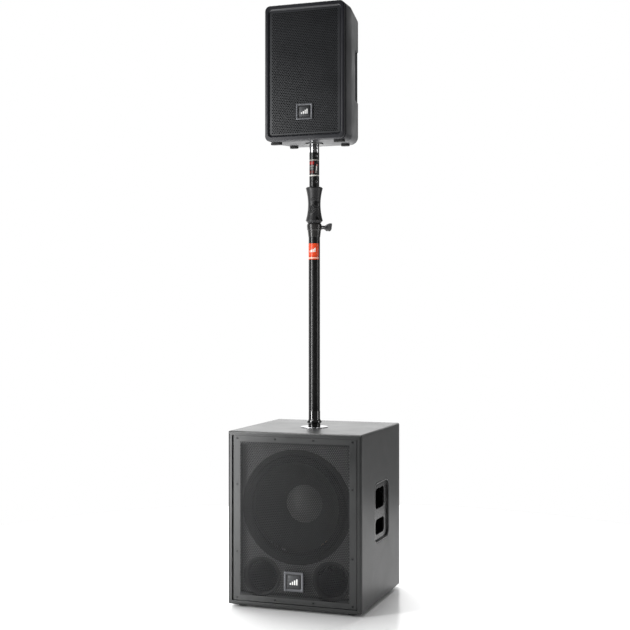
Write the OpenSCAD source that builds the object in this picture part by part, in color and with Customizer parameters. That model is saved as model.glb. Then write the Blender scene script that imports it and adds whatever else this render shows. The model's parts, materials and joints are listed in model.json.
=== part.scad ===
// Portable loudspeaker stack: a fifteen-inch bass cabinet, a telescopic pole
// screwed into its top, and an eight-inch top cabinet turning on the pole.
// Millimetres, +Z up. The origin is on the floor under the middle of the bass
// cabinet, the front faces -Y and +X is to the right of someone facing it.

/* [Bass cabinet] */
// Outside width of the bass cabinet
sub_w = 476; // [390:1:580]
// Outside depth of the bass cabinet
sub_d = 473; // [390:1:580]
// Outside height of the bass cabinet, without its feet
sub_h = 590; // [490:1:720]
// Thickness of the cabinet's panels
sub_wall = 15; // [12:0.5:18]
// Rounding of the cabinet's outer edges
sub_edge_r = 9; // [3:0.5:11]
// Height of the rubber feet
foot_h = 8; // [5:0.5:20]
// Radius of the rubber feet
foot_r = 19; // [12:0.5:25]
// Distance from a foot's centre to the cabinet's sides
foot_inset = 42; // [30:1:60]
// Depth of the baffle's face behind the front edge
baffle_setback = 30; // [24:0.5:40]
// Thickness of the baffle
baffle_t = 18; // [12:0.5:24]
// Depth of the rear panel behind the rear edge
rear_setback = 24; // [20:0.5:32]

/* [Bass grille and badge] */
// Thickness of the perforated grille sheet
grille_t = 2; // [1:0.1:3]
// Depth of the grille sheet's face behind the front edge
grille_setback = 5; // [4.6:0.1:8]
// Gap between the grille sheet and each side panel
grille_side_gap = 4.5; // [1:0.5:8]
// Gap between the grille sheet and the top and bottom panels
grille_end_gap = 1; // [0.5:0.5:4]
// Width of the timber frame behind the grille's edge
grille_frame_w = 28; // [22:0.5:34]
// Distance of the grille screws from the sheet's side edges
grille_screw_inset = 13.5; // [9:0.5:16]
// Height of the side screws above and below the grille's middle
grille_screw_rise = 114; // [70:1:140]
// Radius of the grille screws' heads
grille_screw_r = 3.2; // [2.5:0.1:5]
// Width of the badge
badge_w = 70; // [40:1:90]
// Height of the badge
badge_h = 66; // [40:1:90]
// Height of the badge's centre above the cabinet's bottom
badge_rise = 92; // [70:1:120]
// Thickness of both badges
badge_t = 4; // [3:0.1:4.5]

/* [Bass driver and ports] */
// Gap between the driver's frame and the inside of the side panels
woofer_side_gap = 29; // [28.5:0.5:60]
// Gap between the driver's frame and the inside of the top panel
woofer_top_gap = 44; // [30:1:80]
// Smallest gap between the driver's frame and a port's mouth
woofer_port_gap = 13; // [8:0.5:30]
// Radius of the voice coil
coil_r = 50; // [38:0.5:60]
// Depth of the driver's basket behind the baffle's face
basket_depth = 100; // [80:1:115]
// Radius of the magnet
magnet_r = 92; // [70:1:100]
// Radius of the dust cap
dust_cap_r = 65; // [55:0.5:75]
// Inside radius of a port's tube
port_r = 50; // [30:0.5:56]
// Radius of the flare at a port's mouth
port_flare_r = 12; // [6:0.5:16]
// Gap between a port's mouth and the side panel
port_side_gap = 37; // [20:0.5:50]
// Height of a port's centre above the cabinet's bottom
port_rise = 98; // [85:0.5:120]

/* [Side handles] */
// Length of a side handle's flange, front to back
handle_w = 184; // [150:1:230]
// Height of a side handle's flange
handle_h = 209; // [170:1:260]
// Corner radius of a side handle's flange
handle_r = 30; // [15:0.5:40]
// Height of the handles' centre above the cabinet's bottom
handle_rise = 307.5; // [240:0.5:360]
// Depth of the sunk field inside a handle's rim
handle_field = 7; // [4:0.5:9]
// Length of the two finger windows
window_w = 106; // [85:1:130]
// Height of the upper finger window
window_top_h = 70; // [50:0.5:85]
// Height of the lower finger window
window_low_h = 52; // [40:0.5:64]
// Height of the grip bar between the windows
grip_bar_h = 36; // [28:0.5:44]
// Depth of the handle's cup behind the cabinet's side
cup_depth = 65; // [50:1:75]

/* [Bass amplifier] */
// Width of the amplifier's rear plate
amp_w = 240; // [200:1:280]
// Height of the amplifier's rear plate
amp_h = 340; // [300:1:380]
// Depth of the electronics behind the rear panel
amp_depth = 60; // [50:1:70]

/* [Pole] */
// Distance of the pole's axis behind the cabinet's front edge
pole_back = 210; // [175:1:252]
// Radius of the metal plate on the cabinet's top
socket_plate_r = 48.5; // [40:0.5:60]
// Depth of the socket under the cabinet's top
socket_depth = 74; // [60:1:85]
// Outside radius of the lower tube
outer_r = 20; // [19:0.1:24]
// Wall of the tubes
tube_wall = 1.8; // [1.5:0.1:2.2]
// Length of the lower tube
outer_len = 806; // [670:1:970]
// Thickness of the clamp collar around the lower tube
collar_wall = 6; // [5.5:0.1:11]
// Height of the clamp collar
collar_h = 24; // [21:0.5:29]
// Height of the tapered skirt under the collar
skirt_h = 24; // [15:0.5:30]
// Height of the hand grip
grip_h = 126.5; // [110:0.5:150]
// Thickness of the hand grip around the lower tube, at the grip's ends
grip_end_wall = 10; // [8:0.5:14]
// Thickness of the hand grip around the lower tube, at the grip's waist
grip_waist_wall = 1.8; // [1.6:0.1:5]
// Radius of the round thumb button in the grip
button_r = 10; // [8:0.5:10.5]
// Direction of the pins, screw and button, to the right of the front
pole_face = 43; // [0:1:80]
// Length of the upper tube
inner_len = 680; // [600:1:760]
// Length of the upper tube that shows above the grip
inner_show = 120.5; // [112:0.5:200]
// Radius of the lock pin's holes through the upper tube
pin_r = 4; // [3:0.1:4.5]
// Length of the bare spigot between the upper tube and the top cabinet
spigot_show = 31; // [12:0.5:50]
// Depth of the spigot inside the top cabinet
spigot_depth = 75; // [50:1:80]
// Running clearance of every pin, shaft and tube, on the radius
fit_gap = 0.08; // [0.03:0.01:0.1]

/* [Top cabinet] */
// Width of the top cabinet
top_w = 288; // [250:1:346]
// Height of the top cabinet
top_h = 468; // [430:1:562]
// Depth of the top cabinet
top_d = 218; // [200:1:262]
// Corner radius of the top cabinet's front
top_corner_r = 19; // [14:0.5:24]
// Distance of the pole's axis behind the top cabinet's front
top_pole_back = 106; // [98:1:112]
// Thickness of the housing's walls
top_wall = 4; // [3:0.1:5]
// Thickness of the front bezel
bezel_t = 12; // [9:0.5:14]
// Width of the bezel around the grille
bezel_w = 16; // [13:0.5:19]
// Width of the shadow groove behind the bezel
groove_w = 9; // [5:0.5:11]
// Depth of the shadow groove
groove_depth = 5; // [3:0.5:5.5]
// Depth of the straight part of the top cabinet's sides
straight_d = 84; // [70:1:98]
// How far each side draws in towards the rear
taper_x = 18; // [8:0.5:22]
// How far the top and the underside draw in towards the rear
taper_z = 6; // [2:0.5:12]
// Radius of the eight-inch driver's frame
mid_r = 104; // [90:0.5:108]
// Height of the eight-inch driver above the top cabinet's underside
mid_rise = 142; // [134:0.5:150]
// Width of the horn's mouth
horn_w = 196; // [160:1:205]
// Height of the horn's mouth
horn_h = 126; // [90:1:136]
// Height of the horn's centre above the top cabinet's underside
horn_rise = 345; // [330:1:350]
// Depth of the horn
horn_depth = 72; // [60:1:86]
// Width of the small badge
top_badge_w = 60; // [40:1:72]
// Height of the small badge
top_badge_h = 56; // [40:1:72]
// Height of the top cabinet's rubber feet
top_foot_h = 7; // [4:0.5:10]
// Height of the handle's opening in the top cabinet
grab_h = 177; // [120:1:200]
// Height of the raised bar beside the handle's opening
grab_bar_h = 302; // [240:1:330]
// Depth of the handle's opening, front to back
grab_d = 60; // [50:1:66]
// How far the handle's bar stands out behind the housing
grab_proud = 10; // [4:0.5:14]

/* [Hidden] */
$fn = 64;
eps = 0.01;

// Places of the bass cabinet's parts.
sub_z0 = foot_h;
sub_top = sub_z0 + sub_h;
sub_mid_z = sub_z0 + sub_h / 2;
front_y = -sub_d / 2;
rear_y = sub_d / 2;
inner_w = sub_w - 2 * sub_wall;
inner_h = sub_h - 2 * sub_wall;
baffle_y = front_y + baffle_setback;
baffle_back = baffle_y + baffle_t;
rear_face = rear_y - rear_setback;
rear_inner = rear_face - sub_wall;
grille_w = inner_w - 2 * grille_side_gap;
grille_h = inner_h - 2 * grille_end_gap;
grille_y = front_y + grille_setback;
grille_back = grille_y + grille_t;
frame_gap = 1;
slack = 0.25;

// The driver is as large as the cabinet's width, height and ports leave room for.
port_mouth_r = port_r + port_flare_r;
port_x = inner_w / 2 - port_side_gap - port_mouth_r;
port_z = sub_z0 + port_rise;
clear_h = sub_h - sub_wall - woofer_top_gap - port_rise;
mouth_reach = port_mouth_r + woofer_port_gap;
woofer_r = min(
    inner_w / 2 - woofer_side_gap,
    (pow(clear_h, 2) + pow(port_x, 2) - pow(mouth_reach, 2)) / (2 * (clear_h + mouth_reach))
);
woofer_z = sub_top - sub_wall - woofer_top_gap - woofer_r;
flange_t = 3;
flange_w = 18;
brace_w = 45;
brace_t = 18;
brace_y = rear_inner - amp_depth - brace_t - 8;
port_len = brace_y - 20 - baffle_y;
port_wall = 3;
port_lip = 4;

// Places of the side handles.
handle_z = sub_z0 + handle_rise;
handle_lip = 8;
handle_flange_t = 4;
handle_rim = 6;
handle_skin = 5;
cup_wall = 3;

// Places along the pole.
pole_y = front_y + pole_back;
inner_r = outer_r - tube_wall - 0.7;
bore_r = outer_r - tube_wall;
collar_r = outer_r + collar_wall;
grip_end_r = outer_r + grip_end_wall;
grip_waist_r = outer_r + grip_waist_wall;
coupler_seat = 29;
coupler_sleeve = 28;
tube_z0 = sub_top + coupler_seat;
tube_z1 = tube_z0 + outer_len;
cap_h = 4.5;
grip_z1 = tube_z1 + cap_h;
grip_z0 = grip_z1 - grip_h;
collar_z1 = grip_z0;
collar_z0 = collar_z1 - collar_h;
skirt_z0 = collar_z0 - skirt_h;
clamp_z = (collar_z0 + collar_z1) / 2 - 3;
waist_z = grip_z0 + grip_h / 2 + 3;
grip_screw_z = grip_z0 + 17;
inner_z1 = grip_z1 + inner_show;
inner_z0 = inner_z1 - inner_len;
pin_low_z = inner_z1 - 103;
pin_high_z = inner_z1 - 12.2;
label_z0 = skirt_z0 - 79;
label_h = 56;
label_t = 0.25;
inlay = 0.2;
screw_r = 4;
seat_gap = 0.1;

// Places of the top cabinet's parts.
top_z0 = inner_z1 + spigot_show;
top_mid_z = top_z0 + top_h / 2;
top_front = pole_y - top_pole_back;
top_rear = top_front + top_d;
bezel_back = top_front + bezel_t;
shell_front = bezel_back + groove_w;
crease_y = top_front + straight_d;
open_w = top_w - 2 * bezel_w;
open_h = top_h - 2 * bezel_w - 8;
open_r = 9;
top_grille_y = top_front + 6;
top_grille_t = 1.5;
panel_y = shell_front - 3;
panel_t = 5;
lip_d = 9;
rear_corner_r = 27;
top_amp_w = 150;
top_amp_h = 300;
top_plate_t = 3;
grab_z = top_mid_z + 8;
grab_x = top_w / 2 - taper_x - 46;
bar_x = top_w / 2 - taper_x - 4;
bar_w = 21;
bar_d = 24;

// ---------------------------------------------------------------- shapes
// A centred rectangle with round corners.
module round_rect(w, h, r) {
    square([w - 2 * r, h], center = true);
    square([w, h - 2 * r], center = true);
    for (sx = [-1, 1], sy = [-1, 1])
        translate([sx * (w / 2 - r), sy * (h / 2 - r)])
            circle(r);
}

// Its children, drawn in the x-z plane, extruded from y0 to y1.
module extrude_y(y0, y1) {
    translate([0, y1, 0])
        rotate([90, 0, 0])
            linear_extrude(y1 - y0)
                children();
}

// A round-cornered block between y0 and y1, centred on x = 0 and z.
module slab_y(w, h, r, y0, y1, z) {
    translate([0, 0, z])
        extrude_y(y0, y1)
            round_rect(w, h, r);
}

// Turns a shape built along +Z so that it runs along +Y from the place p.
module along_y(p) {
    translate(p)
        rotate([-90, 0, 0])
            children();
}

// Turns a shape built along +Z so that it leaves the pole's axis at height z.
module from_pole(z, face) {
    translate([0, pole_y, z])
        rotate([0, 0, face - 90])
            rotate([0, 90, 0])
                children();
}

// A plain tube standing on z = 0.
module tube(r_out, r_in, h) {
    difference() {
        cylinder(h = h, r = r_out);
        translate([0, 0, -1])
            cylinder(h = h + 2, r = r_in);
    }
}

// A screw whose head is at z = 0 and whose shank runs down to -len.
module screw(head_r, head_h, shank_r, len) {
    cylinder(h = head_h, r = head_r);
    translate([0, 0, -len])
        cylinder(h = len, r = shank_r);
}

// ---------------------------------------------------------------- bass cabinet
module sub_envelope() {
    intersection() {
        translate([0, 0, sub_z0])
            linear_extrude(sub_h)
                round_rect(sub_w, sub_d, sub_edge_r);
        slab_y(sub_w, sub_h, sub_edge_r, front_y, rear_y, sub_mid_z);
        translate([-sub_w / 2, 0, sub_mid_z])
            rotate([90, 0, 90])
                linear_extrude(sub_w)
                    round_rect(sub_d, sub_h, sub_edge_r);
    }
}

module sub_level_slab(z0) {
    intersection() {
        sub_envelope();
        translate([-sub_w, -sub_d, z0])
            cube([2 * sub_w, 2 * sub_d, sub_wall]);
    }
}

module sub_top_panel() {
    color("dimgray")
        difference() {
            sub_level_slab(sub_top - sub_wall);
            translate([0, pole_y, sub_top - sub_wall - 1])
                cylinder(h = sub_wall + 2, r = socket_body_r + slack);
        }
}

module sub_bottom_panel() {
    color("dimgray")
        sub_level_slab(sub_z0);
}

// The right-hand panel, with a rebated hole for its handle.
module side_panel() {
    difference() {
        intersection() {
            sub_envelope();
            translate([inner_w / 2, -sub_d, sub_z0 + sub_wall])
                cube([sub_wall, 2 * sub_d, inner_h]);
        }
        at_handle() {
            translate([0, 0, -1])
                linear_extrude(handle_flange_t + 1)
                    round_rect(handle_h + 2 * slack, handle_w + 2 * slack, handle_r + slack);
            linear_extrude(sub_wall + 1)
                handle_body_outline(slack);
        }
    }
}

module sub_right_panel() {
    color("dimgray")
        side_panel();
}

module sub_left_panel() {
    color("dimgray")
        mirror([1, 0, 0])
            side_panel();
}

module sub_rear_panel() {
    color([0.2, 0.2, 0.2])
        difference() {
            translate([-inner_w / 2, rear_inner, sub_z0 + sub_wall])
                cube([inner_w, sub_wall, inner_h]);
            translate([-amp_w / 2 + 14, rear_inner - 1, sub_mid_z - amp_h / 2 + 14])
                cube([amp_w - 28, sub_wall + 2, amp_h - 28]);
        }
}

module sub_baffle() {
    color([0.12, 0.12, 0.12])
        difference() {
            translate([-inner_w / 2, baffle_y, sub_z0 + sub_wall])
                cube([inner_w, baffle_t, inner_h]);
            along_y([0, baffle_y - 1, woofer_z])
                cylinder(h = baffle_t + 2, r = woofer_r - flange_w);
            for (side = [-1, 1])
                along_y([side * port_x, baffle_y - 1, port_z])
                    cylinder(h = baffle_t + 2, r = port_r + port_wall + 5);
            at_screws(woofer_screw_pcr, baffle_y - 1, woofer_z)
                cylinder(h = 15, r = 2.6);
        }
}

// A cross of two battens that ties the side, top and bottom panels together.
module sub_brace() {
    color("burlywood") {
        translate([-inner_w / 2, brace_y, woofer_z - brace_w / 2])
            cube([inner_w, brace_t, brace_w]);
        translate([-brace_w / 2, brace_y, sub_z0 + sub_wall])
            cube([brace_w, brace_t, inner_h]);
    }
}

// ---------------------------------------------------------------- grille
module sub_grille_frame() {
    color([0.1, 0.1, 0.1])
        difference() {
            slab_y(inner_w - 2 * frame_gap, inner_h - 2 * frame_gap, 2, grille_back, baffle_y, sub_mid_z);
            slab_y(
                inner_w - 2 * grille_frame_w, inner_h - 2 * grille_frame_w, 4,
                grille_back - 1, baffle_y + 1, sub_mid_z
            );
            at_grille_screws()
                translate([0, 0, -12])
                    cylinder(h = 13, r = 1.6);
            for (side = [-1, 1])
                along_y([side * port_x, grille_back - 1, port_z])
                    cylinder(h = baffle_y - grille_back + 2, r = port_mouth_r + port_lip + 1);
        }
}

module sub_grille() {
    color([0.28, 0.28, 0.29])
        difference() {
            slab_y(grille_w, grille_h, 3, grille_y, grille_back, sub_mid_z);
            at_grille_screws()
                translate([0, 0, -grille_t - 1])
                    cylinder(h = grille_t + 2, r = 1.9);
        }
}

// Twelve places: four along the top, four along the bottom and two up each side.
// The children's +Z points out of the grille's face.
module at_grille_screws() {
    edge_x = grille_w / 2 - grille_screw_inset;
    edge_z = grille_h / 2 - grille_screw_inset + 4.5;
    for (k = [-3, -1, 1, 3], end = [-1, 1])
        translate([k * edge_x / 3, grille_y, sub_mid_z + end * edge_z])
            rotate([90, 0, 0])
                children();
    for (side = [-1, 1], end = [-1, 1])
        translate([side * edge_x, grille_y, sub_mid_z + end * grille_screw_rise])
            rotate([90, 0, 0])
                children();
}

module sub_grille_screws() {
    color("black")
        at_grille_screws()
            screw(grille_screw_r, 1.8, 1.5, 11);
}

// A raised frame, a sunk ring and a plate, facing -Y.
module badge(w, h, y1) {
    border = w * 0.12;
    ring = w * 0.05;
    difference() {
        slab_y(w, h, 2, y1 - badge_t, y1, 0);
        difference() {
            slab_y(w - 2 * border, h - 2 * border, 4, y1 - badge_t - 1, y1 - badge_t + 2, 0);
            slab_y(w - 2 * border - 2 * ring, h - 2 * border - 2 * ring, 3, y1 - badge_t - 2, y1, 0);
        }
    }
}

module sub_badge() {
    color("silver")
        translate([0, 0, sub_z0 + badge_rise])
            badge(badge_w, badge_h, grille_y);
}

// ---------------------------------------------------------------- side handles
// Local x is up, local y is towards the rear and local z goes into the cabinet.
module at_handle() {
    translate([sub_w / 2, 0, handle_z])
        rotate([0, -90, 0])
            children();
}

module handle_body_outline(grow) {
    round_rect(
        handle_h - 2 * handle_lip + 2 * grow,
        handle_w - 2 * handle_lip + 2 * grow,
        handle_r - handle_lip + grow
    );
}

// The windows' edges are counted up from the handle's middle.
bar_low = -grip_bar_h / 2 - 8.5;
bar_high = grip_bar_h / 2 - 8.5;

module handle_window(x0, h, depth) {
    corner = 16;
    translate([x0 + h / 2, 0, 0])
        linear_extrude(depth)
            round_rect(h, window_w, corner);
}

module side_handle() {
    difference() {
        union() {
            linear_extrude(handle_flange_t)
                round_rect(handle_h, handle_w, handle_r);
            linear_extrude(handle_field + handle_skin)
                handle_body_outline(0);
        }
        translate([0, 0, -1])
            linear_extrude(handle_field + 1)
                round_rect(handle_h - 2 * handle_rim, handle_w - 2 * handle_rim, handle_r - handle_rim);
        handle_window(bar_high, window_top_h, sub_wall + 5);
        handle_window(bar_low - window_low_h, window_low_h, sub_wall + 5);
    }
    translate([(bar_low + bar_high) / 2, 0, handle_field + handle_skin])
        rotate([90, 0, 0])
            difference() {
                cylinder(h = window_w + 12, r = grip_bar_h / 2 - 2, center = true);
                translate([-grip_bar_h, -grip_bar_h, -window_w])
                    cube([2 * grip_bar_h, grip_bar_h, 2 * window_w]);
            }
}

module handle_cup() {
    z0 = handle_field + handle_skin;
    translate([0, 0, z0])
        difference() {
            linear_extrude(cup_depth - z0)
                handle_body_outline(0);
            translate([0, 0, -1])
                linear_extrude(cup_depth - z0 - cup_wall + 1)
                    handle_body_outline(-cup_wall);
        }
}

module both_sides() {
    children();
    mirror([1, 0, 0])
        children();
}

module sub_side_handles() {
    color([0.16, 0.16, 0.16])
        both_sides()
            at_handle()
                side_handle();
}

module sub_handle_cups() {
    color([0.08, 0.08, 0.08])
        both_sides()
            at_handle()
                handle_cup();
}

// ---------------------------------------------------------------- ports and drivers
// A flared mouth, a flange on the baffle and a plain tube, as one turned shape.
module sub_port_tubes() {
    flare = [
        for (a = [90:-10:0])
            [port_r + port_flare_r * (1 - sin(a)), port_flare_r * (1 - cos(a))]
    ];
    tube_out = port_r + port_wall;
    outline = concat(flare, [
        [port_mouth_r + port_lip, 0],
        [port_mouth_r + port_lip, flange_t],
        [tube_out + 4.5, flange_t],
        [tube_out + 1, flange_t + baffle_t],
        [tube_out, flange_t + baffle_t],
        [tube_out, port_len],
        [port_r, port_len]
    ]);
    color([0.1, 0.1, 0.1])
        for (side = [-1, 1])
            along_y([side * port_x, baffle_y - flange_t, port_z])
                rotate_extrude()
                    polygon(outline);
}

woofer_screw_pcr = woofer_r - 7;

// Eight screw places on a circle in front of the baffle.
module at_screws(pcr, y, z) {
    along_y([0, y, z])
        for (k = [0:7])
            rotate([0, 0, 22.5 + 45 * k])
                translate([pcr, 0, 0])
                    children();
}

// A driver's basket: a flange on the baffle, a shallow wall and a spoked cone
// down to a ring, lap wide, that holds the magnet. Local z = 0 is the baffle's face.
module basket(frame_r, hole_r, seat_r, lap, depth) {
    skin = 2.5;
    step_z = 22;
    difference() {
        rotate_extrude()
            polygon([
                [frame_r, -flange_t], [frame_r, 0], [hole_r - 1, 0], [hole_r - 1, step_z],
                [seat_r, depth], [seat_r - lap, depth], [seat_r - lap, depth - skin],
                [seat_r - skin, depth - skin], [hole_r - 1 - skin, step_z - 1], [hole_r - 1 - skin, -flange_t]
            ]);
        for (k = [0:5])
            rotate([0, 0, 60 * k])
                translate([seat_r + 6, -seat_r * 0.36, step_z + 6])
                    cube([hole_r, seat_r * 0.72, depth]);
    }
}

// Front plate, magnet ring, back plate and centre pole with the coil's gap.
module magnet(ring_r, gap_r, thickness) {
    plate = 8;
    difference() {
        union() {
            cylinder(h = plate, r = ring_r - 6);
            translate([0, 0, plate])
                cylinder(h = thickness - 2 * plate, r = ring_r);
            translate([0, 0, thickness - plate])
                cylinder(h = plate, r = ring_r - 6);
        }
        translate([0, 0, -1])
            tube(gap_r + 2.5, gap_r - 2.5, thickness - plate);
    }
}

// The cone, the dome over its centre and the coil's former, as one moving piece.
module cone(edge_r, former_r, cap_r, front_z, neck_z, former_z) {
    skin = 1.6;
    slope = (neck_z - front_z) / (edge_r - former_r);
    cap_z = neck_z - (cap_r - former_r) * slope;
    rise = 0.28 * cap_r;
    ball_r = (pow(cap_r, 2) + pow(rise, 2)) / (2 * rise);
    span = asin(cap_r / ball_r);
    function dome(r, n) = [
        for (k = [0:n])
            let (a = span * k / n)
            [r * sin(a), cap_z - rise + ball_r - r * cos(a)]
    ];
    rotate_extrude()
        polygon([
            [edge_r, front_z], [edge_r, front_z + skin], [former_r, neck_z + skin],
            [former_r, former_z], [former_r - 1, former_z], [former_r - 1, neck_z]
        ]);
    rotate_extrude()
        polygon(concat(dome(ball_r, 10), [for (k = [10:-1:0]) dome(ball_r - skin, 10)[k]]));
}

// A half-round roll between the cone's edge and the basket's flange.
module surround(r0, r1, z) {
    roll_r = (r1 - r0) / 2 - 3.5;
    mid_r = (r0 + r1) / 2;
    skin = 1.2;
    rotate_extrude()
        polygon(concat(
            [[r0, z], [r0, z - skin]],
            [for (a = [180:-15:0]) [mid_r + roll_r * cos(a), z - skin - roll_r * sin(a)]],
            [[r1, z - skin], [r1, z]],
            [for (a = [0:15:180]) [mid_r + (roll_r - skin) * cos(a), z - (roll_r - skin) * sin(a)]]
        ));
}

cone_edge_r = woofer_r - 44;

module sub_woofer_basket() {
    color([0.18, 0.18, 0.18])
        difference() {
            along_y([0, baffle_y, woofer_z])
                basket(woofer_r, woofer_r - flange_w, magnet_r - 2, 30, basket_depth);
            at_screws(woofer_screw_pcr, baffle_y - 10, woofer_z)
                cylinder(h = 12, r = 2.9);
        }
}

module sub_woofer_magnet() {
    color([0.3, 0.3, 0.32])
        along_y([0, baffle_y + basket_depth, woofer_z])
            magnet(magnet_r, coil_r, 46);
}

module sub_woofer_cone() {
    color([0.07, 0.07, 0.07])
        along_y([0, baffle_y, woofer_z])
            cone(cone_edge_r, coil_r, dust_cap_r, 2, basket_depth - 24, basket_depth + 12);
}

module sub_woofer_surround() {
    color([0.05, 0.05, 0.05])
        along_y([0, baffle_y - flange_t, woofer_z])
            surround(cone_edge_r + 1, woofer_r - 15, 0);
}

module sub_woofer_spider() {
    color("goldenrod")
        along_y([0, baffle_y + basket_depth - 10, woofer_z])
            tube(magnet_r - 10, coil_r + 1, 1.5);
}

module sub_woofer_screws() {
    color("black")
        at_screws(woofer_screw_pcr, baffle_y - flange_t, woofer_z)
            rotate([180, 0, 0])
                screw(4.5, 3, 2.5, 16);
}

module sub_feet() {
    color([0.06, 0.06, 0.06])
        for (sx = [-1, 1], sy = [-1, 1])
            translate([sx * (sub_w / 2 - foot_inset), sy * (sub_d / 2 - foot_inset), 0])
                cylinder(h = foot_h, r1 = foot_r - 2, r2 = foot_r);
}

// ---------------------------------------------------------------- amplifiers
plate_t = 3;
plate_face = rear_face + plate_t;
jack_r = 11.5;
knob_shaft_r = 3;
push_r = 3.5;
rocker_r = 10;
rocker_w = 12;
inlet_w = 30;
inlet_h = 24;

// Places on the bass cabinet's plate, counted from its middle: [x, z].
input_at = [[-80, 140], [-45, 140]];
output_at = [[45, 140], [80, 140]];
level_at = [-60, 88];
phase_at = [0, 88];
inlet_at = [-55, 28];
switch_at = [30, 28];
// Places on the top cabinet's plate, counted from its middle: [x, z].
top_input_at = [[-32, 110], [32, 110]];
top_level_at = [0, 50];
top_inlet_at = [-28, -105];
top_switch_at = [32, -105];

// Puts children at each of the places on the plane y, round middle height z.
module at_places(places, y, z) {
    for (p = places)
        translate([p[0], y, z + p[1]])
            children();
}

// Through holes of a plate between y0 and y1.
module round_holes(places, r, y0, y1, z) {
    at_places(places, y0 - 1, z)
        rotate([-90, 0, 0])
            cylinder(h = y1 - y0 + 2, r = r);
}

module box_holes(places, w, h, y0, y1, z) {
    at_places(places, y0 - 1, z)
        translate([-w / 2, 0, -h / 2])
            cube([w, y1 - y0 + 2, h]);
}

// A three-hole socket for a microphone plug, facing +Y, flange at y = 0.
module input_jack() {
    difference() {
        union() {
            translate([-13, 0, -15])
                cube([26, 1.5, 30]);
            along_y([0, -22, 0])
                cylinder(h = 22, r = jack_r);
        }
        for (a = [90, 210, 330])
            translate([3.8 * cos(a), 0, 3.8 * sin(a)])
                along_y([0, -12, 0])
                    cylinder(h = 20, r = 1.3);
    }
}

// A hollow plug shell with three pins, facing +Y, flange at y = 0.
module output_jack() {
    difference() {
        union() {
            translate([-13, 0, -15])
                cube([26, 1.5, 30]);
            along_y([0, -22, 0])
                cylinder(h = 22, r = jack_r);
        }
        along_y([0, -16, 0])
            cylinder(h = 20, r = 9.5);
    }
    for (a = [90, 210, 330])
        translate([3.8 * cos(a), 0, 3.8 * sin(a)])
            along_y([0, -16 - eps, 0])
                cylinder(h = 9, r = 1.2);
}

// A mains inlet with three flat pins, facing +Y, flange at y = 0.
module mains_inlet() {
    difference() {
        union() {
            translate([-inlet_w / 2 - 9, 0, -inlet_h / 2 - 2])
                cube([inlet_w + 18, 2, inlet_h + 4]);
            translate([-inlet_w / 2, -24, -inlet_h / 2])
                cube([inlet_w, 24, inlet_h]);
        }
        translate([-inlet_w / 2 + 2, -18, -inlet_h / 2 + 2])
            cube([inlet_w - 4, 22, inlet_h - 4]);
    }
    for (k = [-1, 0, 1])
        translate([7 * k - 1, -18 - eps, (k == 0 ? 2 : -3) - 2])
            cube([2, 12, 4]);
}

// A fluted knob on a shaft, facing +Y, skirt at y = 0.5.
module knob(r, h, shaft_len) {
    difference() {
        along_y([0, 0.5, 0])
            cylinder(h = h, r1 = r, r2 = r - 1);
        translate([-0.6, h - 1, r * 0.25])
            cube([1.2, 4, r]);
    }
    along_y([0, -shaft_len, 0])
        cylinder(h = shaft_len + 1, r = knob_shaft_r);
}

// A rocker turning on an axis along X through its own origin. Its shallow V faces
// +Y and its upper end stands out, as it does when the switch is off.
module rocker() {
    back = 5;
    middle = 5.8;
    tips = 8.6;
    half = rocker_r - 1;
    rotate([rocker_tilt, 0, 0])
        translate([-rocker_w / 2, 0, 0])
            rotate([90, 0, 90])
                linear_extrude(rocker_w)
                    intersection() {
                        circle(rocker_r);
                        polygon([[-back, -half], [tips, -half], [middle, 0], [tips, half], [-back, half]]);
                    }
}
rocker_sink = 5;
rocker_tilt = 8;

module sub_amp_plate() {
    color([0.15, 0.15, 0.15])
        difference() {
            slab_y(amp_w, amp_h, 4, rear_face, plate_face, sub_mid_z);
            round_holes(concat(input_at, output_at), jack_r + slack, rear_face, plate_face, sub_mid_z);
            round_holes([level_at], knob_shaft_r + fit_gap, rear_face, plate_face, sub_mid_z);
            round_holes([phase_at], push_r + fit_gap, rear_face, plate_face, sub_mid_z);
            box_holes([inlet_at], inlet_w + 2 * slack, inlet_h + 2 * slack, rear_face, plate_face, sub_mid_z);
            box_holes([switch_at], rocker_w + 0.6, 2 * rocker_r + 1, rear_face, plate_face, sub_mid_z);
            at_plate_screws(amp_w, amp_h, plate_face, sub_mid_z)
                translate([0, 0, -plate_t - 1])
                    cylinder(h = plate_t + 2, r = 2.1);
        }
}

// Eight screw places round a plate's edge, with +Z pointing out of its face.
module at_plate_screws(w, h, y, z) {
    for (sx = [-1, 1], k = [-3, -1, 1, 3])
        translate([sx * (w / 2 - 7), y, z + k * (h / 2 - 9) / 3])
            rotate([-90, 0, 0])
                children();
}

module sub_plate_screws() {
    color("black")
        at_plate_screws(amp_w, amp_h, plate_face, sub_mid_z)
            screw(3.8, 2, 1.9, plate_t);
}

// Vertical fins on a base that lies against the plate.
module sub_heatsink() {
    fin_h = 12;
    fin_z = 130;
    fin_pitch = 9;
    color("gray") {
        translate([-90, plate_face, sub_mid_z - amp_h / 2 + 16])
            cube([180, 3, fin_z]);
        for (k = [-9:9])
            translate([k * fin_pitch - 1.2, plate_face + 3 - eps, sub_mid_z - amp_h / 2 + 16])
                cube([2.4, fin_h, fin_z]);
    }
}

// A circuit board with its transformer, capacitors, coils and shield box.
module amp_board(w, h, y, z) {
    translate([-w / 2, y, z - h / 2])
        cube([w, 2, h]);
    translate([-w * 0.36, y - 24, z - h * 0.4])
        cube([w * 0.3, 24 + eps, h * 0.2]);
    translate([w * 0.05, y - 15, z - h * 0.42])
        cube([w * 0.36, 15 + eps, h * 0.26]);
    for (k = [0:3])
        along_y([-w * 0.3 + k * w * 0.2, y - 20, z + h * 0.1])
            cylinder(h = 20 + eps, r = w * 0.06);
    translate([-w * 0.4, y - 6, z + h * 0.3])
        cube([w * 0.8, 6 + eps, h * 0.1]);
}

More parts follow.
